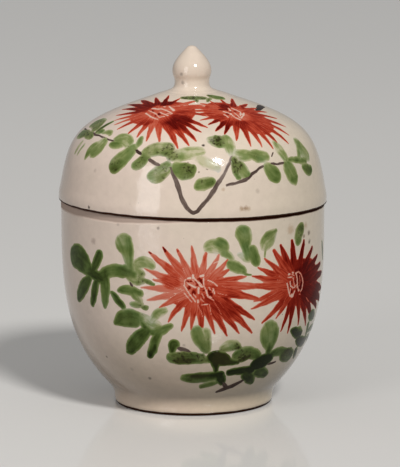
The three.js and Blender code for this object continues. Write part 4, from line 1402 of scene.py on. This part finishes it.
class StudioSettings(bpy.types.PropertyGroup):
    """The camera, the lamps and the floor."""

    distance: length_setting("Distance", "From the jar's axis to the camera, level", 1123)
    height: length_setting("Height", "Of the camera over the table", 243)
    pitch: angle_setting("Pitch", "How far the camera looks down", 9.25)
    yaw: angle_setting("Yaw", "How far it looks past the jar", 0.132)
    roll: angle_setting("Roll", "How far it leans to the right", 0.274)
    lens: FloatProperty(name="Lens", description="Focal length in mm, on a 36 mm frame", default=246.9)
    key: FloatProperty(name="Key lamp", description="Strength of the main lamp", default=2.27)
    key_width: angle_setting("Key width", "How wide it looks from the jar", 10)
    soft_box: FloatProperty(name="Soft box", description="The box on the left", default=4.2, unit="POWER")
    sky: FloatProperty(name="Room light", description="Strength of the light all round", default=0.27)
    floor: colour_setting("Floor", "Of the pale board", "#F2EFEA")
    table: colour_setting("Table", "What the jar is lit by from below", "#1A1918")


def towards(azimuth, elevation):
    """The direction out from the jar at an azimuth right of the camera and an elevation, in degrees."""
    a, e = math.radians(azimuth), math.radians(elevation)
    return Vector((math.sin(a) * math.cos(e), -math.cos(a) * math.cos(e), math.sin(e)))


def add_lamp(name, kind, direction, distance, **settings):
    """A lamp that far from the jar's middle, pointed at it."""
    data = bpy.data.lights.new(name, kind)
    for setting, value in settings.items():
        setattr(data, setting, value)
    lamp = bpy.data.objects.new(name, data)
    bpy.context.scene.collection.objects.link(lamp)
    lamp.location = CAD_MIDDLE + direction * distance
    lamp.rotation_euler = direction.to_track_quat("Z", "Y").to_euler()
    return lamp


class COVERED_JAR_OT_turn_jar(bpy.types.Operator):
    """Turns and glazes the jar"""

    bl_idname = "covered_jar.turn_jar"
    bl_label = "Turn the jar"

    def execute(self, context):
        mesh = turned_mesh(jar_outline(), context.scene.jar_porcelain.sides)
        flaws = placed_flaws(jar_canvas(), JAR_FLAWS)
        material = glazed_porcelain("glazed_porcelain_jar", flaws, JAR_FOOT_WIPED_MM, JAR_LEDGE_WIPED_MM)
        new_piece("jar_porcelain", mesh, material, "jar", ["jar_body"])
        return {"FINISHED"}


class COVERED_JAR_OT_turn_lid(bpy.types.Operator):
    """Turns and glazes the lid's dome"""

    bl_idname = "covered_jar.turn_lid"
    bl_label = "Turn the lid"

    def execute(self, context):
        mesh = turned_mesh(lid_outline(), context.scene.jar_porcelain.sides)
        flaws = placed_flaws(lid_canvas(), LID_FLAWS)
        material = glazed_porcelain("glazed_porcelain_lid", flaws, LID_RIM_WIPED_MM)
        new_piece("lid_porcelain", mesh, material, "lid", ["lid_dome"])
        return {"FINISHED"}


class COVERED_JAR_OT_turn_knob(bpy.types.Operator):
    """Turns the bud-shaped knob, with a foot that runs on to the lid without a step"""

    bl_idname = "covered_jar.turn_knob"
    bl_label = "Turn the knob"

    def execute(self, context):
        glaze = context.scene.jar_porcelain
        dome = porcelain_outline("lid_dome")
        dome = dome[np.argmax(dome[:, 0]):][::-1]
        bud = half_outline("lid_knob")
        bud = bud[np.argmax(bud[:, 1] > bud[0, 1] + MERGE / MM):]
        bud = bud[bud[:, 0] < KNOB_FLARE_MM]
        skirt = [(radius, np.interp(radius, *dome.T) + above) for radius, above in KNOB_SKIRT_MM]
        start = [(0.0, skirt[0][1] - KNOB_SUNK_MM), (skirt[0][0], skirt[0][1] - KNOB_SUNK_MM)]
        outline = fine_outline(np.vstack([start, skirt, bud]), glaze.step / MM / 2, glaze.corner / MM)
        material = glazed_porcelain("glazed_porcelain_knob", KNOB_FLAWS)
        mesh = turned_mesh(outline, glaze.sides // 2)
        new_piece("knob_porcelain", mesh, material, "lid", ["lid_knob"])
        return {"FINISHED"}


class COVERED_JAR_OT_paint_flowers(bpy.types.Operator):
    """Brushes the four iron-red chrysanthemums on to the jar and the lid"""

    bl_idname = "covered_jar.paint_flowers"
    bl_label = "Paint the flowers"

    def execute(self, context):
        height = context.scene.jar_enamel.red_height
        look = enamel_look(iron_red_enamel(), "red_enamel", height, PETAL_WET_MM, PETAL_UNSTEADY_MM)
        for name, body, centre, heart, tips, scratches, blots in FLOWERS:
            enamel_sheet(name, body, flower_lines(centre, heart, tips), look, scratches, blots)
        return {"FINISHED"}


class COVERED_JAR_OT_paint_leaves(bpy.types.Operator):
    """Washes the copper-green leaves on to the jar and the lid"""

    bl_idname = "covered_jar.paint_leaves"
    bl_label = "Paint the leaves"

    def execute(self, context):
        height = context.scene.jar_enamel.green_height
        look = enamel_look(copper_green_enamel(), "green_enamel", height, LEAF_WET_MM, LEAF_UNSTEADY_MM)
        for name, body, strokes in LEAVES:
            lines = [stroke_line(stroke) for stroke in strokes]
            enamel_sheet(name, body, lines, look, grains=GRAINS[body])
        return {"FINISHED"}


class COVERED_JAR_OT_paint_stems(bpy.types.Operator):
    """Draws the brown stems on the jar and the lid"""

    bl_idname = "covered_jar.paint_stems"
    bl_label = "Paint the stems"

    def execute(self, context):
        height = context.scene.jar_enamel.brown_height
        look = enamel_look(brown_line_enamel(), "brown_enamel", height, STEM_WET_MM, STEM_UNSTEADY_MM)
        for name, body, strokes in STEMS:
            enamel_sheet(name, body, [stroke_line(stroke) for stroke in strokes], look)
        return {"FINISHED"}


class COVERED_JAR_OT_set_up_studio(bpy.types.Operator):
    """Lays the pale floor and sets up the lamps and the camera"""

    bl_idname = "covered_jar.set_up_studio"
    bl_label = "Set up the studio"

    def execute(self, context):
        studio = context.scene.jar_studio
        mesh = bmesh.new()
        bmesh.ops.create_circle(mesh, cap_ends=True, segments=FLOOR_SIDES, radius=FLOOR_RADIUS)
        bmesh.ops.translate(mesh, verts=mesh.verts, vec=(0, 0, -FLOOR_GAP))
        data = bpy.data.meshes.new("floor")
        mesh.to_mesh(data)
        mesh.free()
        data.materials.append(pale_floor())
        floor = bpy.data.objects.new("floor", data)
        context.scene.collection.objects.link(floor)

        world = bpy.data.worlds.new("room")
        world.use_nodes = True
        world.node_tree.nodes.clear()
        sky = {"Color": (1, 1, 1, 1), "Strength": studio.sky}
        background = add_node(world.node_tree, "Background", sky)
        add_node(world.node_tree, "OutputWorld", (background,))
        context.scene.world = world

        key = {"energy": studio.key, "angle": studio.key_width}
        add_lamp("key_lamp", "SUN", towards(*KEY_TOWARDS), KEY_DISTANCE, **key)
        width, height = SOFT_BOX_SIZE
        box = {"energy": studio.soft_box, "shape": "RECTANGLE", "size": width, "size_y": height}
        add_lamp("soft_box", "AREA", towards(*SOFT_BOX_TOWARDS), SOFT_BOX_DISTANCE, **box)

        lens = bpy.data.cameras.new("camera")
        lens.lens = studio.lens
        lens.clip_start, lens.clip_end = CAMERA_SEES
        camera = bpy.data.objects.new("camera", lens)
        context.scene.collection.objects.link(camera)
        turned = Matrix.Rotation(-studio.yaw, 4, "Z") @ Matrix.Rotation(math.pi / 2 - studio.pitch, 4, "X")
        turned = turned @ Matrix.Rotation(-studio.roll, 4, "Z")
        camera.matrix_world = Matrix.Translation((0, -studio.distance, studio.height)) @ turned
        context.scene.camera = camera
        context.scene.view_settings.view_transform = "Standard"
        return {"FINISHED"}


STEPS = (
    COVERED_JAR_OT_set_up_studio,
    COVERED_JAR_OT_turn_jar,
    COVERED_JAR_OT_turn_lid,
    COVERED_JAR_OT_turn_knob,
    COVERED_JAR_OT_paint_flowers,
    COVERED_JAR_OT_paint_leaves,
    COVERED_JAR_OT_paint_stems,
)
SETTINGS = {
    "jar_porcelain": PorcelainSettings,
    "jar_enamel": EnamelSettings,
    "jar_studio": StudioSettings,
}


class COVERED_JAR_PT_panel(bpy.types.Panel):
    """Lists the jar's settings and its steps"""

    bl_idname = "COVERED_JAR_PT_panel"
    bl_label = "Covered jar"
    bl_space_type = "VIEW_3D"
    bl_region_type = "UI"
    bl_category = "Covered jar"

    def draw(self, context):
        for name, settings in SETTINGS.items():
            box = self.layout.box()
            for setting in settings.__annotations__:
                box.prop(getattr(context.scene, name), setting)
        for step in STEPS:
            self.layout.operator(step.bl_idname)


def register():
    """Makes the settings, the steps and the panel known to Blender."""
    for made in (*SETTINGS.values(), *STEPS, COVERED_JAR_PT_panel):
        bpy.utils.register_class(made)
    for name, settings in SETTINGS.items():
        setattr(bpy.types.Scene, name, PointerProperty(type=settings))


def unregister():
    """Takes them back out."""
    for name in SETTINGS:
        delattr(bpy.types.Scene, name)
    for made in reversed((*SETTINGS.values(), *STEPS, COVERED_JAR_PT_panel)):
        bpy.utils.unregister_class(made)


def main():
    """Makes everything in order."""
    register()
    for step in STEPS:
        group, name = step.bl_idname.split(".")
        getattr(getattr(bpy.ops, group), name)()


if __name__ == "__main__":
    main()
